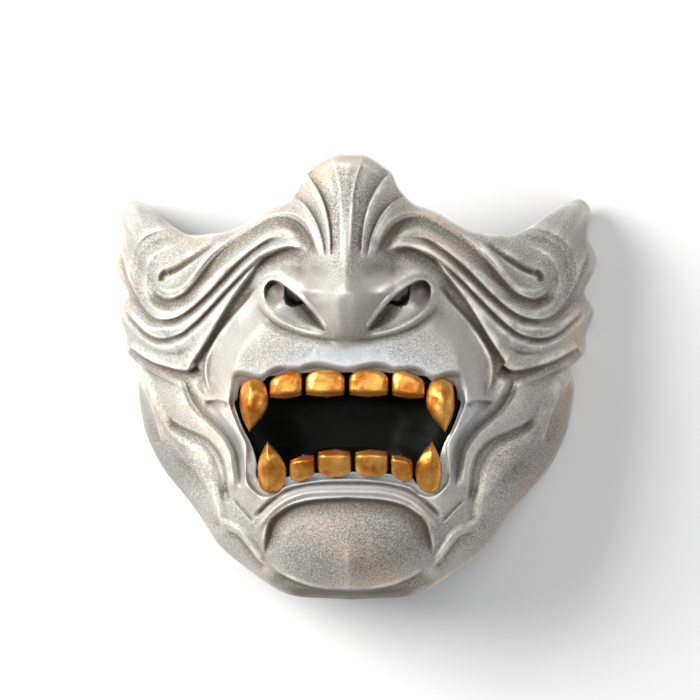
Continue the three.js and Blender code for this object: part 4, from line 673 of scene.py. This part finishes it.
# %% Zones of the paint
GUM_SHADE = 0.85
STONE_PATCHES = [  # how rough, the middle, the half sizes and the turn of each patch
    (1, (0, -66), (33, 17), 0), (1, (70, -34), (16, 26), -0.6), (1, (58, -62), (12, 20), -0.8),
    (1, (0, 62), (10, 26), 0), (0.6, (24, 12), (22, 9), -0.4), (0.7, (84, 42), (14, 22), 0)]


def patch(x, y, place, size, turn=0.0):
    """One in the middle of a soft oval patch, zero outside of it, on both halves."""
    ax = np.abs(x) - place[0]
    ay = y - place[1]
    u = (ax * np.cos(turn) + ay * np.sin(turn)) / size[0]
    v = (ay * np.cos(turn) - ax * np.sin(turn)) / size[1]
    return ease(1.6 * (1.25 - np.hypot(u, v)))


def paint_zones(x, y):
    stone = 0.5 * ease((np.hypot(x, y + 10) - 50) / 12)
    for share, place, size, turn in STONE_PATCHES:
        stone = np.maximum(stone, share * patch(x, y, place, size, turn))
    cool = patch(x, y, (0, -18), (47, 30))
    shade = 0.8 * patch(x, y, (29.5, 33), (5, 6)) * is_inside(np.abs(x), y, nostril)
    shade = np.maximum(shade, 0.3 * patch(x, y, (76, -24), (9, 24), -0.5))
    shade = np.maximum(shade, 0.32 * patch(x, y, (0, -60), (34, 18)))
    shade = np.maximum(shade, ease((-81.8 - y) / 2.2) * ease((28 - np.abs(x)) / 7))
    return stone, cool, shade


# %% Dress the mask
def nearest_on_skin(mesh):
    tree = kdtree.KDTree(skin.shape[0] * skin.shape[1])
    for number, place in enumerate(skin.reshape(-1, 3) * MM):
        tree.insert(place, number)
    tree.balance()
    found = [tree.find(vertex.co) for vertex in mesh.vertices]
    return np.array([number for _, number, _ in found]), np.array([gap for _, _, gap in found]) / MM


def add_attribute(mesh, name, values):
    layer = mesh.attributes.new(name, "FLOAT", "POINT")
    layer.data.foreach_set("value", np.asarray(values, np.float32))


def dress_mask(thing):
    mesh = thing.data
    number, gap = nearest_on_skin(mesh)
    row = number % skin.shape[1]
    near_edge = (row < 2) | (row > skin.shape[1] - 3) | (np.abs(row - OUTWARD - 3.5) < 6)
    normal = skin_normal.reshape(-1, 3)[number]
    normal[near_edge | (gap > 0.3)] = 0
    mesh.polygons.foreach_set("use_smooth", np.ones(len(mesh.polygons), bool))
    mesh.set_sharp_from_angle(angle=np.radians(50))
    mesh.normals_split_custom_set_from_vertices(normal.tolist())
    place = skin.reshape(-1, 3)[number]
    vertex = np.array([vertex.co for vertex in mesh.vertices]) / MM
    face_only = on_face.ravel()[number] * ~on_canal(vertex)
    stone, cool, shade = paint_zones(place[:, 0], place[:, 1])
    shade = np.maximum(shade, GUM_SHADE * skin_gum.ravel()[number] * (place[:, 1] > -12))
    cut = carving(place[:, 0], place[:, 1])
    outside_nostril = ~is_inside(np.abs(place[:, 0]), place[:, 1], nostril)
    groove = ease((-cut - 0.5) / 2.4) * outside_nostril
    ridge = ease((cut - 0.4) / 2.4) * outside_nostril
    values = {"crest": crest.ravel()[number], "fold": fold.ravel()[number], "stone": stone, "cool": cool,
              "shade": shade, "groove": groove, "ridge": ridge, "outside": 1}
    for name, value in values.items():
        add_attribute(mesh, name, value * face_only)


dress_mask(mask)
print("attributes:", [layer.name for layer in mask.data.attributes if layer.domain == "POINT"])

# %% [markdown]
# The twelve teeth are two shapes, a flat tooth and a fang, stretched to twelve places. Each is a row of
# sections from root to bite, with a boxy crown in front and a flat back on the gum.

# %% Teeth
TOOTH_STAND = 3.9
FANG_STAND = 6.2
FLAT = [[0, 0.82, 0.5], [0.08, 0.94, 0.82], [0.3, 1, 0.98], [0.6, 1, 1], [0.77, 0.99, 0.97], [0.81, 0.985,
    0.9], [0.9, 0.97, 0.68], [1, 0.95, 0.42]]
FANG = [[0, 0.6, 0.4], [0.08, 0.82, 0.7], [0.24, 0.96, 0.94], [0.45, 1, 1], [0.66, 0.82, 0.88], [0.86,
    0.46, 0.62], [1, 0.12, 0.3]]


def flat_tooth(right, left, **sizes):
    return {"right": right, "left": left, "tilt": 0, "slant": 0, "lean": 0, "belly": 0, "stand": TOOTH_STAND,
            "form": FLAT, **sizes}


def fang(right, left, **sizes):
    return {"right": right, "left": left, "tilt": 0, "slant": 0, "arch": 0.6, "belly": 0.9, "form": FANG,
            **sizes}


TEETH = {
    "upper_inner": flat_tooth((0.8, 16.2), (0.8, 16.2), root=3.2, bite=-7.4, arch=1.9),
    "upper_outer": flat_tooth((17.6, 30.4), (17.6, 30.4), root=2, bite=-8, arch=1.3, tilt=0.4, slant=1),
    "upper_fang": fang((31.2, 42.4), (31.2, 42.6), root=-0.6, bite=-20.8, lean=1.4, stand=FANG_STAND),
    "lower_inner": flat_tooth((3.1, 16), (-1.6, 11.5), root=-38.8, bite=-28.2, arch=1.4),
    "lower_outer": flat_tooth((17.1, 25.7), (12.8, 22.6), root=-40.2, bite=-30.6, arch=1.2, tilt=1),
    "lower_fang": fang((27, 37.4), (24.4, 35.8), root=-44.6, bite=-25.2, lean=1, stand=FANG_STAND - 1),
}
print("tooth forms:", len(FLAT), "and", len(FANG), "sections for", len(TEETH), "kinds of tooth")

# %% [markdown]
# The rule of a tooth is a Geometry Nodes tree: a flat grid is wrapped round the tooth, one way from root to
# bite and the other way over the crown and back along the gum. Two curves give the width and the height of
# each section. The inputs are a tooth's own sizes, so the twelve teeth come out of one rule.

# %% Nodes for the rule
ROWS_OF_TOOTH, COLUMNS_OF_TOOTH = 49, 45
CROWN_SHARE = 32 / 44  # of the way round that is crown, the rest is the back
END_SHARE = 0.03  # of the grid at each end closes the tooth
BODY_SHARE = 1 - 2 * END_SHARE
BOXINESS = 0.8  # powers of the crown's section
ROUNDNESS = 0.6
RIDGE_SHIFT = 0.2  # a fang's ridge leans this much to one side
ARCH_POWER = 3.5
BITE_BOW = 0.7
UNEVENNESS = 0.035  # of the crown's height
WELD = 0.01


class Rule:
    """Short names for the nodes of one Geometry Nodes tree."""

    def __init__(self, name):
        self.tree = bpy.data.node_groups.new(name, "GeometryNodeTree")

    def node(self, kind, inputs=(), **choices):
        made = self.tree.nodes.new(kind)
        for key, value in choices.items():
            setattr(made, key, value)
        for key, value in dict(inputs).items():
            if isinstance(value, bpy.types.NodeSocket):
                self.tree.links.new(value, made.inputs[key])
            else:
                made.inputs[key].default_value = value
        return made

    def math(self, operation, *values):
        return self.node("ShaderNodeMath", enumerate(values), operation=operation).outputs[0]

    def sum(self, *values):
        total = values[0]
        for value in values[1:]:
            total = self.math("ADD", total, value)
        return total

    def product(self, *values):
        total = values[0]
        for value in values[1:]:
            total = self.math("MULTIPLY", total, value)
        return total

    def ramp(self, value, low, high):
        """0 at the low value, 1 at the high one, with soft ends."""
        inputs = {"Value": value, "From Min": low, "From Max": high}
        return self.node("ShaderNodeMapRange", inputs, interpolation_type="SMOOTHSTEP").outputs["Result"]

    def curve(self, value, points):
        made = self.node("ShaderNodeFloatCurve", {"Value": value})
        line = made.mapping.curves[0]
        for place, height in points[1:-1]:
            line.points.new(place, height)
        for point, (place, height) in zip((line.points[0], line.points[-1]), (points[0], points[-1])):
            point.location = (place, height)
        made.mapping.update()
        return made.outputs[0]

    def either(self, share, a, b):
        return self.sum(self.product(a, self.math("SUBTRACT", 1.0, share)), self.product(b, share))


def sections_of(form, column):
    """A form's sections for a curve, closed to a point at both ends."""
    inner = [(END_SHARE + BODY_SHARE * row[0], row[column]) for row in form]
    return [(0.0, 0.0), *inner, (1.0, 0.0)]


print("grid of a tooth:", ROWS_OF_TOOTH, "by", COLUMNS_OF_TOOTH)

# %% [markdown]
# The nodes do arithmetic on the place of each grid point. The share from root to bite sets a section's
# width and rise, the way round it sets how far the point is across and up, and the front of the mouth
# carries it.

# %% The rule of a tooth
OWN_SIZES = ("Root", "Bite", "Arch", "Tilt", "Slant", "Lean", "Belly", "Stand")
TOOTH_SIZES = ("Middle", "Half", *OWN_SIZES, "Side", "Fang")


def front_height(rule, x, y):
    """The same front of the mouth part as mouth_front() gives, in millimetres."""
    up = rule.math("MAXIMUM", 0.0, rule.product(rule.sum(y, -10.0), 1 / 80))
    down = rule.math("MAXIMUM", 0.0, rule.product(rule.sum(rule.product(y, -1.0), -30.0), 1 / 60))
    side = rule.math("POWER", rule.product(rule.math("ABSOLUTE", x), 1 / 90), FALL_POWER)
    falls = [rule.product(side, -float(SIDE_FALL)), rule.product(up, up, -float(BROW_FALL)),
             rule.product(down, down, -float(CHIN_FALL))]
    rise = rule.product(rule.ramp(rule.product(rule.sum(y, 44.0), 1 / 16), 0.0, 1.0), float(MUZZLE_RISE))
    return rule.sum(float(FRONT_HEIGHT), *falls, rise)


def tooth_rule():
    rule = Rule("tooth")
    interface = rule.tree.interface
    for name in TOOTH_SIZES:
        interface.new_socket(name, in_out="INPUT", socket_type="NodeSocketFloat")
    interface.new_socket("Material", in_out="INPUT", socket_type="NodeSocketMaterial")
    interface.new_socket("Geometry", in_out="OUTPUT", socket_type="NodeSocketGeometry")
    sizes = rule.node("NodeGroupInput").outputs
    grid = rule.node("GeometryNodeMeshGrid", {"Size X": 1.0, "Size Y": 1.0, "Vertices X": ROWS_OF_TOOTH,
                                              "Vertices Y": COLUMNS_OF_TOOTH})
    place = rule.node("ShaderNodeSeparateXYZ", {0: rule.node("GeometryNodeInputPosition").outputs[0]})
    along = rule.sum(place.outputs["X"], 0.5)
    share = rule.product(rule.sum(along, -END_SHARE), 1 / BODY_SHARE)
    around = rule.sum(place.outputs["Y"], 0.5)
    width, rise = (rule.either(sizes["Fang"], rule.curve(along, sections_of(FLAT, column)),
                               rule.curve(along, sections_of(FANG, column))) for column in (1, 2))
    over = rule.math("MINIMUM", 1.0, rule.product(around, 1 / CROWN_SHARE))
    angle = rule.product(rule.sum(1.0, rule.product(over, -1.0)), float(np.pi))
    cosine, sine = rule.math("COSINE", angle), rule.math("SINE", angle)
    boxy = rule.math("POWER", rule.math("ABSOLUTE", cosine), BOXINESS)
    boxy = rule.product(rule.math("SIGN", cosine), boxy)
    back = rule.math("MAXIMUM", 0.0, rule.product(rule.sum(around, -CROWN_SHARE), 2 / (1 - CROWN_SHARE)))
    across = rule.math("SUBTRACT", boxy, back)
    round_crown = rule.math("POWER", rule.math("MAXIMUM", sine, 0.0), ROUNDNESS)
    roof = rule.math("ABSOLUTE", rule.sum(across, rule.product(sine, -RIDGE_SHIFT)))
    ridged = rule.sum(rule.product(round_crown, 0.5), 0.5, rule.product(roof, -0.5))
    on_crown = rule.math("LESS_THAN", back, 0.0001)
    profile = rule.product(rule.either(sizes["Fang"], round_crown, ridged), on_crown)
    crown = rule.product(rise, profile)
    half_turn = rule.product(rule.math("MAXIMUM", share, 0.0), float(np.pi))
    bulge = rule.product(sizes["Belly"], rule.math("SINE", half_turn), -1.0)
    middle = rule.sum(sizes["Middle"], rule.product(sizes["Lean"], share), bulge)
    x = rule.sum(middle, rule.product(sizes["Half"], width, across))
    left = rule.math("SUBTRACT", 1.0, share)
    spread = rule.math("ABSOLUTE", across)
    arch = rule.product(sizes["Arch"], left, rule.math("POWER", spread, ARCH_POWER))
    bow = rule.sum(arch, rule.product(share, spread, spread, -BITE_BOW))
    to_root = rule.math("SIGN", rule.math("SUBTRACT", sizes["Root"], sizes["Bite"]))
    tilt = rule.product(rule.sum(sizes["Tilt"], rule.product(sizes["Slant"], left)), across, -1.0)
    y = rule.sum(rule.product(sizes["Root"], left), rule.product(sizes["Bite"], share), tilt,
                 rule.product(to_root, bow, -1.0))
    wave = rule.sum(rule.math("SINE", rule.sum(rule.product(x, sizes["Side"], 0.55), rule.product(y, 0.8))),
                    rule.math("SINE", rule.sum(rule.product(x, sizes["Side"], 0.9), rule.product(y, -0.5))))
    height = rule.product(crown, sizes["Stand"], rule.sum(1.0, rule.product(wave, UNEVENNESS)))
    z = rule.sum(front_height(rule, x, y), float(PIECE_GAP - GUM_DEPTH), height)
    bevel = rule.product(rule.ramp(share, 0.78, 0.86), rule.math("SUBTRACT", 1.0, sizes["Fang"]))
    collar = rule.math("SUBTRACT", 1.0, rule.ramp(crown, 0.1, 0.3))
    shape = grid.outputs["Mesh"]
    for name, value in (("bevel", bevel), ("collar", collar)):
        inputs = {"Geometry": shape, "Name": name, "Value": value}
        shape = rule.node("GeometryNodeStoreNamedAttribute", inputs, domain="POINT").outputs["Geometry"]
    scaled = {0: rule.product(x, sizes["Side"], MM), 1: rule.product(y, MM), 2: rule.product(z, MM)}
    position = rule.node("ShaderNodeCombineXYZ", scaled).outputs[0]
    shape = rule.node("GeometryNodeSetPosition", {"Geometry": shape, "Position": position}).outputs[0]
    shape = rule.node("GeometryNodeMergeByDistance", {"Geometry": shape, "Distance": WELD * MM}).outputs[0]
    shape = rule.node("GeometryNodeRealizeInstances", {"Geometry": shape}).outputs[0]
    finish = {"Geometry": shape, "Material": sizes["Material"]}
    shape = rule.node("GeometryNodeSetMaterial", finish).outputs[0]
    rule.node("NodeGroupOutput", {"Geometry": shape})
    return rule.tree


tooth_tree = tooth_rule()
print("the rule of a tooth has", len(tooth_tree.nodes), "nodes")

# %% [markdown]
# Behind the open mouth the real mask is closed by something dark and glossy. It could be a flat plate, but
# a dished shell reads as the depth of a mouth. It is a stack of rings, the mouth's outline made smaller and
# lower step by step, and back again for the hidden side.

# %% Lining
LINING_GAP = 0.7
LINING_LAP = 3
LINING_THICKNESS = 2.4
LINING_DISH = 13
LINING_MIDDLE = -18
LINING_WIDENED = 1.15
LINING_CORNERS = 19  # points along half of its edge, before smoothing
LINING_RINGS = 44


def lining_ring(loop, share, lower):
    x = loop[:, 0] * share
    y = mix(LINING_MIDDLE, loop[:, 1], share)
    dish = LINING_DISH * ease((0.88 - share) / 0.5)
    return np.stack([x, y, mouth_front(x, y) - GUM_DEPTH - WALL - LINING_GAP - dish - lower], axis=-1)


def build_lining():
    along = np.linspace(0.0, lengths_along(mouth)[-1], LINING_CORNERS)
    edge = point_at(mouth, along)
    out = np.stack([edge[:, 0] / LINING_WIDENED, edge[:, 1] - LINING_MIDDLE], axis=-1)
    edge = edge + LINING_LAP * out / np.hypot(*out.T)[:, None]
    edge[[0, -1], 0] = 0.0
    loop = np.concatenate([edge, edge[-2:0:-1] * np.array([-1, 1])])
    loop = smooth_line(np.vstack([loop, loop[:1]]), 5)[:-1]
    shares = np.linspace(0.03, 1.0, LINING_RINGS)
    rings = [lining_ring(loop, share, 0) for share in shares]
    rings += [lining_ring(loop, share, LINING_THICKNESS) for share in shares[::-1]]
    points = np.concatenate(rings)
    lining = mesh_object("black_lining", points, grid_faces(len(rings), len(loop), False, True))
    close_holes(lining)
    lining.data.polygons.foreach_set("use_smooth", np.ones(len(lining.data.polygons), bool))
    lining.data.set_sharp_from_angle(angle=np.radians(50))
    return lining


lining = build_lining()
print("lining:", triangle_count(lining), "triangles")

# %% [markdown]
# Materials are built from nodes on object coordinates, so that the patterns stay on the piece. The helper
# makes a node, sets its choices, and gives each input either a value or a link.

# %% Helpers for materials
MIX_SHARE, MIX_FIRST, MIX_SECOND, MIX_RESULT = 0, 6, 7, 2  # a Mix node's sockets for colours


def new_material(name):
    material = bpy.data.materials.new(name)
    material.use_nodes = True
    material.node_tree.nodes.clear()
    return material, material.node_tree


def node(tree, kind, choices=None, inputs=None):
    made = tree.nodes.new(kind)
    for key, value in (choices or {}).items():
        setattr(made, key, value)
    for key, value in (inputs or {}).items():
        if isinstance(value, bpy.types.NodeSocket):
            tree.links.new(value, made.inputs[key])
        else:
            made.inputs[key].default_value = value
    return made


def object_coordinates(tree):
    return node(tree, "ShaderNodeTexCoord").outputs["Object"]


def noise(tree, place, scale, detail=3.0, roughness=0.55):
    inputs = {"Vector": place, "Scale": scale, "Detail": detail, "Roughness": roughness}
    return node(tree, "ShaderNodeTexNoise", None, inputs).outputs["Fac"]


def attribute(tree, name):
    return node(tree, "ShaderNodeAttribute", {"attribute_name": name}).outputs["Fac"]


def between(tree, value, low, high, to_low=0.0, to_high=1.0):
    """The value, spread from low..high to new limits and kept inside them."""
    inputs = {"Value": value, "From Min": low, "From Max": high, "To Min": to_low, "To Max": to_high}
    return node(tree, "ShaderNodeMapRange", {"clamp": True}, inputs).outputs["Result"]


def combine(tree, operation, a, b):
    return node(tree, "ShaderNodeMath", {"operation": operation, "use_clamp": True}, {0: a, 1: b}).outputs[0]


def blend_colours(tree, share, a, b):
    """Colour a, turning into colour b as the share rises."""
    inputs = {MIX_SHARE: share, MIX_FIRST: a, MIX_SECOND: b}
    return node(tree, "ShaderNodeMix", {"data_type": "RGBA"}, inputs).outputs[MIX_RESULT]


def srgb(red, green, blue):
    """A colour as a paint chart gives it, 0 to 255, turned into light."""
    c = np.array([red, green, blue]) / 255
    linear = np.where(c <= 0.04045, c / 12.92, ((c + 0.055) / 1.055) ** 2.4)
    return (*linear.tolist(), 1.0)


def finish_surface(tree, inputs):
    shader = node(tree, "ShaderNodeBsdfPrincipled", None, inputs)
    node(tree, "ShaderNodeOutputMaterial", None, {"Surface": shader.outputs["BSDF"]})


# %% [markdown]
# The casting is sprayed with a pale pearly paint over a rough grain. It is a mostly unmetallic paint that is
# blended in thin layers: peach and bluish clouds, the peach stronger on broad crests as a painted highlight,
# painted shade in the hollows, grooves and creases, grit on the rough patches, and painted highlights on the
# ridges and crests. Where the nostril canals are cut, it is left dark as painted shade.

# %% Silver casting
def silver_casting():
    material, tree = new_material("silver_casting")
    place = object_coordinates(tree)
    stone = attribute(tree, "stone")
    crest = attribute(tree, "crest")
    fold = attribute(tree, "fold")
    clouds = noise(tree, place, 28, 4, 0.6)
    specks = noise(tree, place, 1300, 2, 0.8)
    grain = noise(tree, place, 620, 4, 0.75)
    brushed = noise(tree, place, 120, 5, 0.65)
    silver = blend_colours(tree, between(tree, clouds, 0.35, 0.65), srgb(170, 167, 160), srgb(184, 182, 176))
    # A pearly peach tone in clouds, stronger on the broad crests, where it is a painted highlight.
    peach_tone_and_highlight = between(tree, noise(tree, place, 19, 2, 0.5), 0.5, 0.66)
    peach_tone_and_highlight = combine(tree, "MULTIPLY", peach_tone_and_highlight, between(tree, fold, 0.0, 0.9, 0.2, 0.8))
    silver = blend_colours(tree, peach_tone_and_highlight, silver, srgb(214, 188, 158))
    silver = blend_colours(tree, between(tree, stone, 0.3, 1.0, 0.0, 0.25), silver, srgb(150, 151, 146))
    cool = combine(tree, "MULTIPLY", attribute(tree, "cool"), between(tree, clouds, 0.2, 0.5, 0.5, 1.0))
    silver = blend_colours(tree, cool, silver, srgb(188, 200, 212))
    # Painted shade: the broad hollows are darkened to a brownish grey.
    painted_hollow_shade = between(tree, brushed, 0.3, 0.65, 0.5, 0.9)
    painted_hollow_shade = combine(tree, "MULTIPLY", between(tree, fold, -0.1, -1.6), painted_hollow_shade)
    silver = blend_colours(tree, painted_hollow_shade, silver, srgb(132, 125, 114))
    # Painted shade: the carved grooves are darkened to a brown grey.
    painted_groove_shade = combine(tree, "MULTIPLY", attribute(tree, "groove"), between(tree, grain, 0.25, 0.65, 0.55, 1.0))
    silver = blend_colours(tree, painted_groove_shade, silver, srgb(134, 122, 105))
    # Painted highlight on the carved ridges, which are also made less rough further down.
    ridge_highlight_and_polish = combine(tree, "MULTIPLY", attribute(tree, "ridge"), between(tree, brushed, 0.35, 0.6))
    silver = blend_colours(tree, ridge_highlight_and_polish, silver, srgb(226, 216, 202))
    gritty = combine(tree, "ADD", between(tree, stone, 0, 1, 0.12, 0.95), attribute(tree, "groove"))
    dark_specks = combine(tree, "MULTIPLY", between(tree, specks, 0.50, 0.66), gritty)
    silver = blend_colours(tree, dark_specks, silver, srgb(106, 102, 94))
    pale_specks = between(tree, stone, 0, 1, 0.25, 0.8)
    pale_specks = combine(tree, "MULTIPLY", between(tree, specks, 0.46, 0.32), pale_specks)
    silver = blend_colours(tree, pale_specks, silver, srgb(226, 226, 222))
    # Painted shade: the sharp creases are darkened to a dark brown.
    painted_crease_shade = between(tree, grain, 0.3, 0.7, 0.55, 0.95)
    painted_crease_shade = combine(tree, "MULTIPLY", between(tree, crest, -0.08, -0.7), painted_crease_shade)
    silver = blend_colours(tree, painted_crease_shade, silver, srgb(98, 86, 72))
    # Painted highlight: the sharp crests are lightened nearly to white.
    painted_crest_highlight = combine(tree, "MULTIPLY", between(tree, crest, 0.08, 0.6), between(tree, brushed, 0.3, 0.6))
    silver = blend_colours(tree, painted_crest_highlight, silver, srgb(240, 235, 225))
    silver = blend_colours(tree, attribute(tree, "shade"), silver, srgb(104, 94, 84))
    # The inside of the shell and the nostril canal walls are near black; on the canal walls this is painted
    # shade that makes the holes read dark.
    inside = between(tree, attribute(tree, "outside"), 0.0, 1.0)
    silver = blend_colours(tree, inside, srgb(20, 14, 10), silver)
    rough = between(tree, brushed, 0.3, 0.7, 0.32, 0.5)
    rough = combine(tree, "ADD", rough, between(tree, stone, 0, 1, 0.0, 0.28))
    rough = combine(tree, "SUBTRACT", rough, between(tree, ridge_highlight_and_polish, 0, 1, 0.0, 0.16))
    height = combine(tree, "MULTIPLY", grain, between(tree, stone, 0, 1, 0.35, 1.0))
    bump = node(tree, "ShaderNodeBump", None, {"Strength": 0.35, "Distance": 0.0006, "Height": height})
    waves = node(tree, "ShaderNodeBump", None, {"Strength": 0.3, "Distance": 0.0012,
                                                "Height": noise(tree, place, 75, 3, 0.5),
                                                "Normal": bump.outputs["Normal"]})
    finish_surface(tree, {"Base Color": silver, "Roughness": rough, "Metallic": 0.12,
                          "Normal": waves.outputs["Normal"], "Specular IOR Level": 0.5})
    return material


# %% [markdown]
# The teeth are painted gold by hand, so the colour is cloudy, browner on the bevel of the bite, darkened
# with painted shade where the surface curves inward, and chalky where the brush didn't reach the gum.

# %% Gold paint
def gold_paint():
    material, tree = new_material("gold_paint")
    place = object_coordinates(tree)
    clouds = noise(tree, place, 130, 4, 0.6)
    strokes = noise(tree, place, 480, 3, 0.6)
    gold = blend_colours(tree, between(tree, clouds, 0.35, 0.68), srgb(194, 106, 24), srgb(244, 188, 92))
    # Painted shade: where the tooth's surface curves inward, the gold turns dark brown.
    edge = between(tree, node(tree, "ShaderNodeNewGeometry").outputs["Pointiness"], 0.40, 0.49)
    gold = blend_colours(tree, edge, srgb(128, 66, 20), gold)
    bevel = between(tree, attribute(tree, "bevel"), 0.0, 1.0, 0.0, 0.75)
    gold = blend_colours(tree, bevel, gold, srgb(150, 80, 26))
    collar = combine(tree, "MULTIPLY", attribute(tree, "collar"), between(tree, clouds, 0.4, 0.6, 0.4, 1.0))
    gold = blend_colours(tree, collar, gold, srgb(214, 206, 190))
    rough = between(tree, strokes, 0.3, 0.7, 0.24, 0.44)
    bump = node(tree, "ShaderNodeBump", None, {"Strength": 0.3, "Distance": 0.0008, "Height": clouds})
    finish_surface(tree, {"Base Color": gold, "Roughness": rough, "Metallic": 0.8, "Coat Weight": 0.2,
                          "Coat Roughness": 0.2, "Normal": bump.outputs["Normal"]})
    return material


# %% [markdown]
# The lining is nearly black with a soft, uneven gloss. It stays plain, so that the teeth stand out.

# %% Black lining
def black_gloss():
    material, tree = new_material("black_gloss")
    place = object_coordinates(tree)
    clouds = noise(tree, place, 60, 4, 0.6)
    black = blend_colours(tree, between(tree, clouds, 0.35, 0.7), srgb(4, 4, 4), srgb(11, 11, 7))
    rough = between(tree, noise(tree, place, 240, 3, 0.6), 0.3, 0.7, 0.45, 0.65)
    bump = node(tree, "ShaderNodeBump", None, {"Strength": 0.3, "Distance": 0.001, "Height": clouds})
    finish_surface(tree, {"Base Color": black, "Roughness": rough, "Specular IOR Level": 0.08,
                          "Normal": bump.outputs["Normal"]})
    return material


def wear(thing, material):
    thing.data.materials.clear()
    thing.data.materials.append(material)


silver, gold, black = silver_casting(), gold_paint(), black_gloss()
wear(mask, silver)
wear(lining, black)
print("materials:", [m.name for m in (silver, gold, black)])

# %% [markdown]
# Each of the twelve teeth is the same rule with its own sizes.

# %% Twelve teeth
def build_tooth(name, tooth, hand, side):
    start, end = tooth[hand]
    sizes = {size: tooth[size.lower()] for size in OWN_SIZES}
    sizes.update({"Middle": (start + end) / 2, "Half": (end - start) / 2, "Side": side,
                  "Fang": tooth["form"] is FANG})
    tooth_object = mesh_object(name, [(0, 0, 0)], np.zeros((0, 3)))
    modifier = tooth_object.modifiers.new("rule", "NODES")
    modifier.node_group = tooth_tree
    for socket in tooth_tree.interface.items_tree:
        if socket.in_out == "INPUT":
            modifier[socket.identifier] = gold if socket.name == "Material" else float(sizes[socket.name])
    work_in_modifiers(tooth_object)
    close_holes(tooth_object)
    mesh = tooth_object.data
    mesh.polygons.foreach_set("use_smooth", np.ones(len(mesh.polygons), bool))
    mesh.set_sharp_from_angle(angle=np.radians(60))
    return tooth_object


gold_teeth = {}
for tooth_name, tooth in TEETH.items():
    for hand, side in (("right", 1), ("left", -1)):
        gold_teeth[f"{tooth_name}_{hand}"] = build_tooth(f"gold_{tooth_name}_{hand}", tooth, hand, side)
print("teeth:", len(gold_teeth), "each of", triangle_count(gold_teeth["upper_inner_right"]), "triangles")

# %% [markdown]
# Every fine piece rides on the one body of the part and stands for the CAD node that it was made from.

# %% Tie the pieces to the frame
for thing, cad_node, slot in [(mask, "mask", "silver_pearl"), (lining, "mouth_lining", "black_gloss"),
                              *((tooth, name, "gold_paint") for name, tooth in gold_teeth.items())]:
    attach(thing, "root")
    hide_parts(cad_node)
print("pieces:", 2 + len(gold_teeth))

# %% [markdown]
# The photograph is bright on the left and grey on the right. A large soft light stands low at the upper
# left, a wide one hangs over the mask, and a small weak one at the right gives the gold its glints. The
# world fills the shadows, and the pale floor shows where the rim touches it.

# %% Floor and light
FLOOR_REACH = 2000
DAYLIGHT = (0.97, 0.98, 1.0)
ROOM_LIGHT = 0.32
LIGHT_AIM = Vector((0, 0, 0.05))
LIGHTS = [  # name, place, width and watts of each soft light, and its colour
    ("key", (-0.98, 0.42, 0.92), 0.8, 25.0, (1.0, 0.99, 0.97)),
    ("glint", (1.5, 0.5, 1.5), 0.3, 2.0, (1.0, 0.95, 0.9)),
    ("top", (0.5, 0.2, 3.0), 2.4, 27.0, DAYLIGHT)]


def add_floor():
    corners = [(u * FLOOR_REACH, v * FLOOR_REACH, 0) for u, v in ((-1, -1), (1, -1), (1, 1), (-1, 1))]
    floor = mesh_object("floor", corners, [[0, 1, 2, 3]])
    material, tree = new_material("pale_floor")
    soft = noise(tree, object_coordinates(tree), 3, 2, 0.5)
    pale = blend_colours(tree, between(tree, soft, 0.3, 0.7), (0.89, 0.89, 0.89, 1), (0.91, 0.91, 0.91, 1))
    finish_surface(tree, {"Base Color": pale, "Roughness": 0.9, "Specular IOR Level": 0.1})
    wear(floor, material)
    return floor


def add_light(name, place, size, power, colour):
    data = bpy.data.lights.new(name, "AREA")
    data.size, data.energy, data.color = size, power, colour
    light = bpy.data.objects.new(name, data)
    bpy.context.scene.collection.objects.link(light)
    light.location = place
    light.rotation_euler = (Vector(place) - LIGHT_AIM).to_track_quat("Z", "Y").to_euler()


floor = add_floor()
for light_sizes in LIGHTS:
    add_light(*light_sizes)
world = bpy.data.worlds.new("studio")
world.use_nodes = True
room = world.node_tree.nodes["Background"].inputs
room["Color"].default_value = (*DAYLIGHT, 1.0)
room["Strength"].default_value = ROOM_LIGHT
bpy.context.scene.world = world
bpy.context.scene.view_settings.view_transform = "Standard"
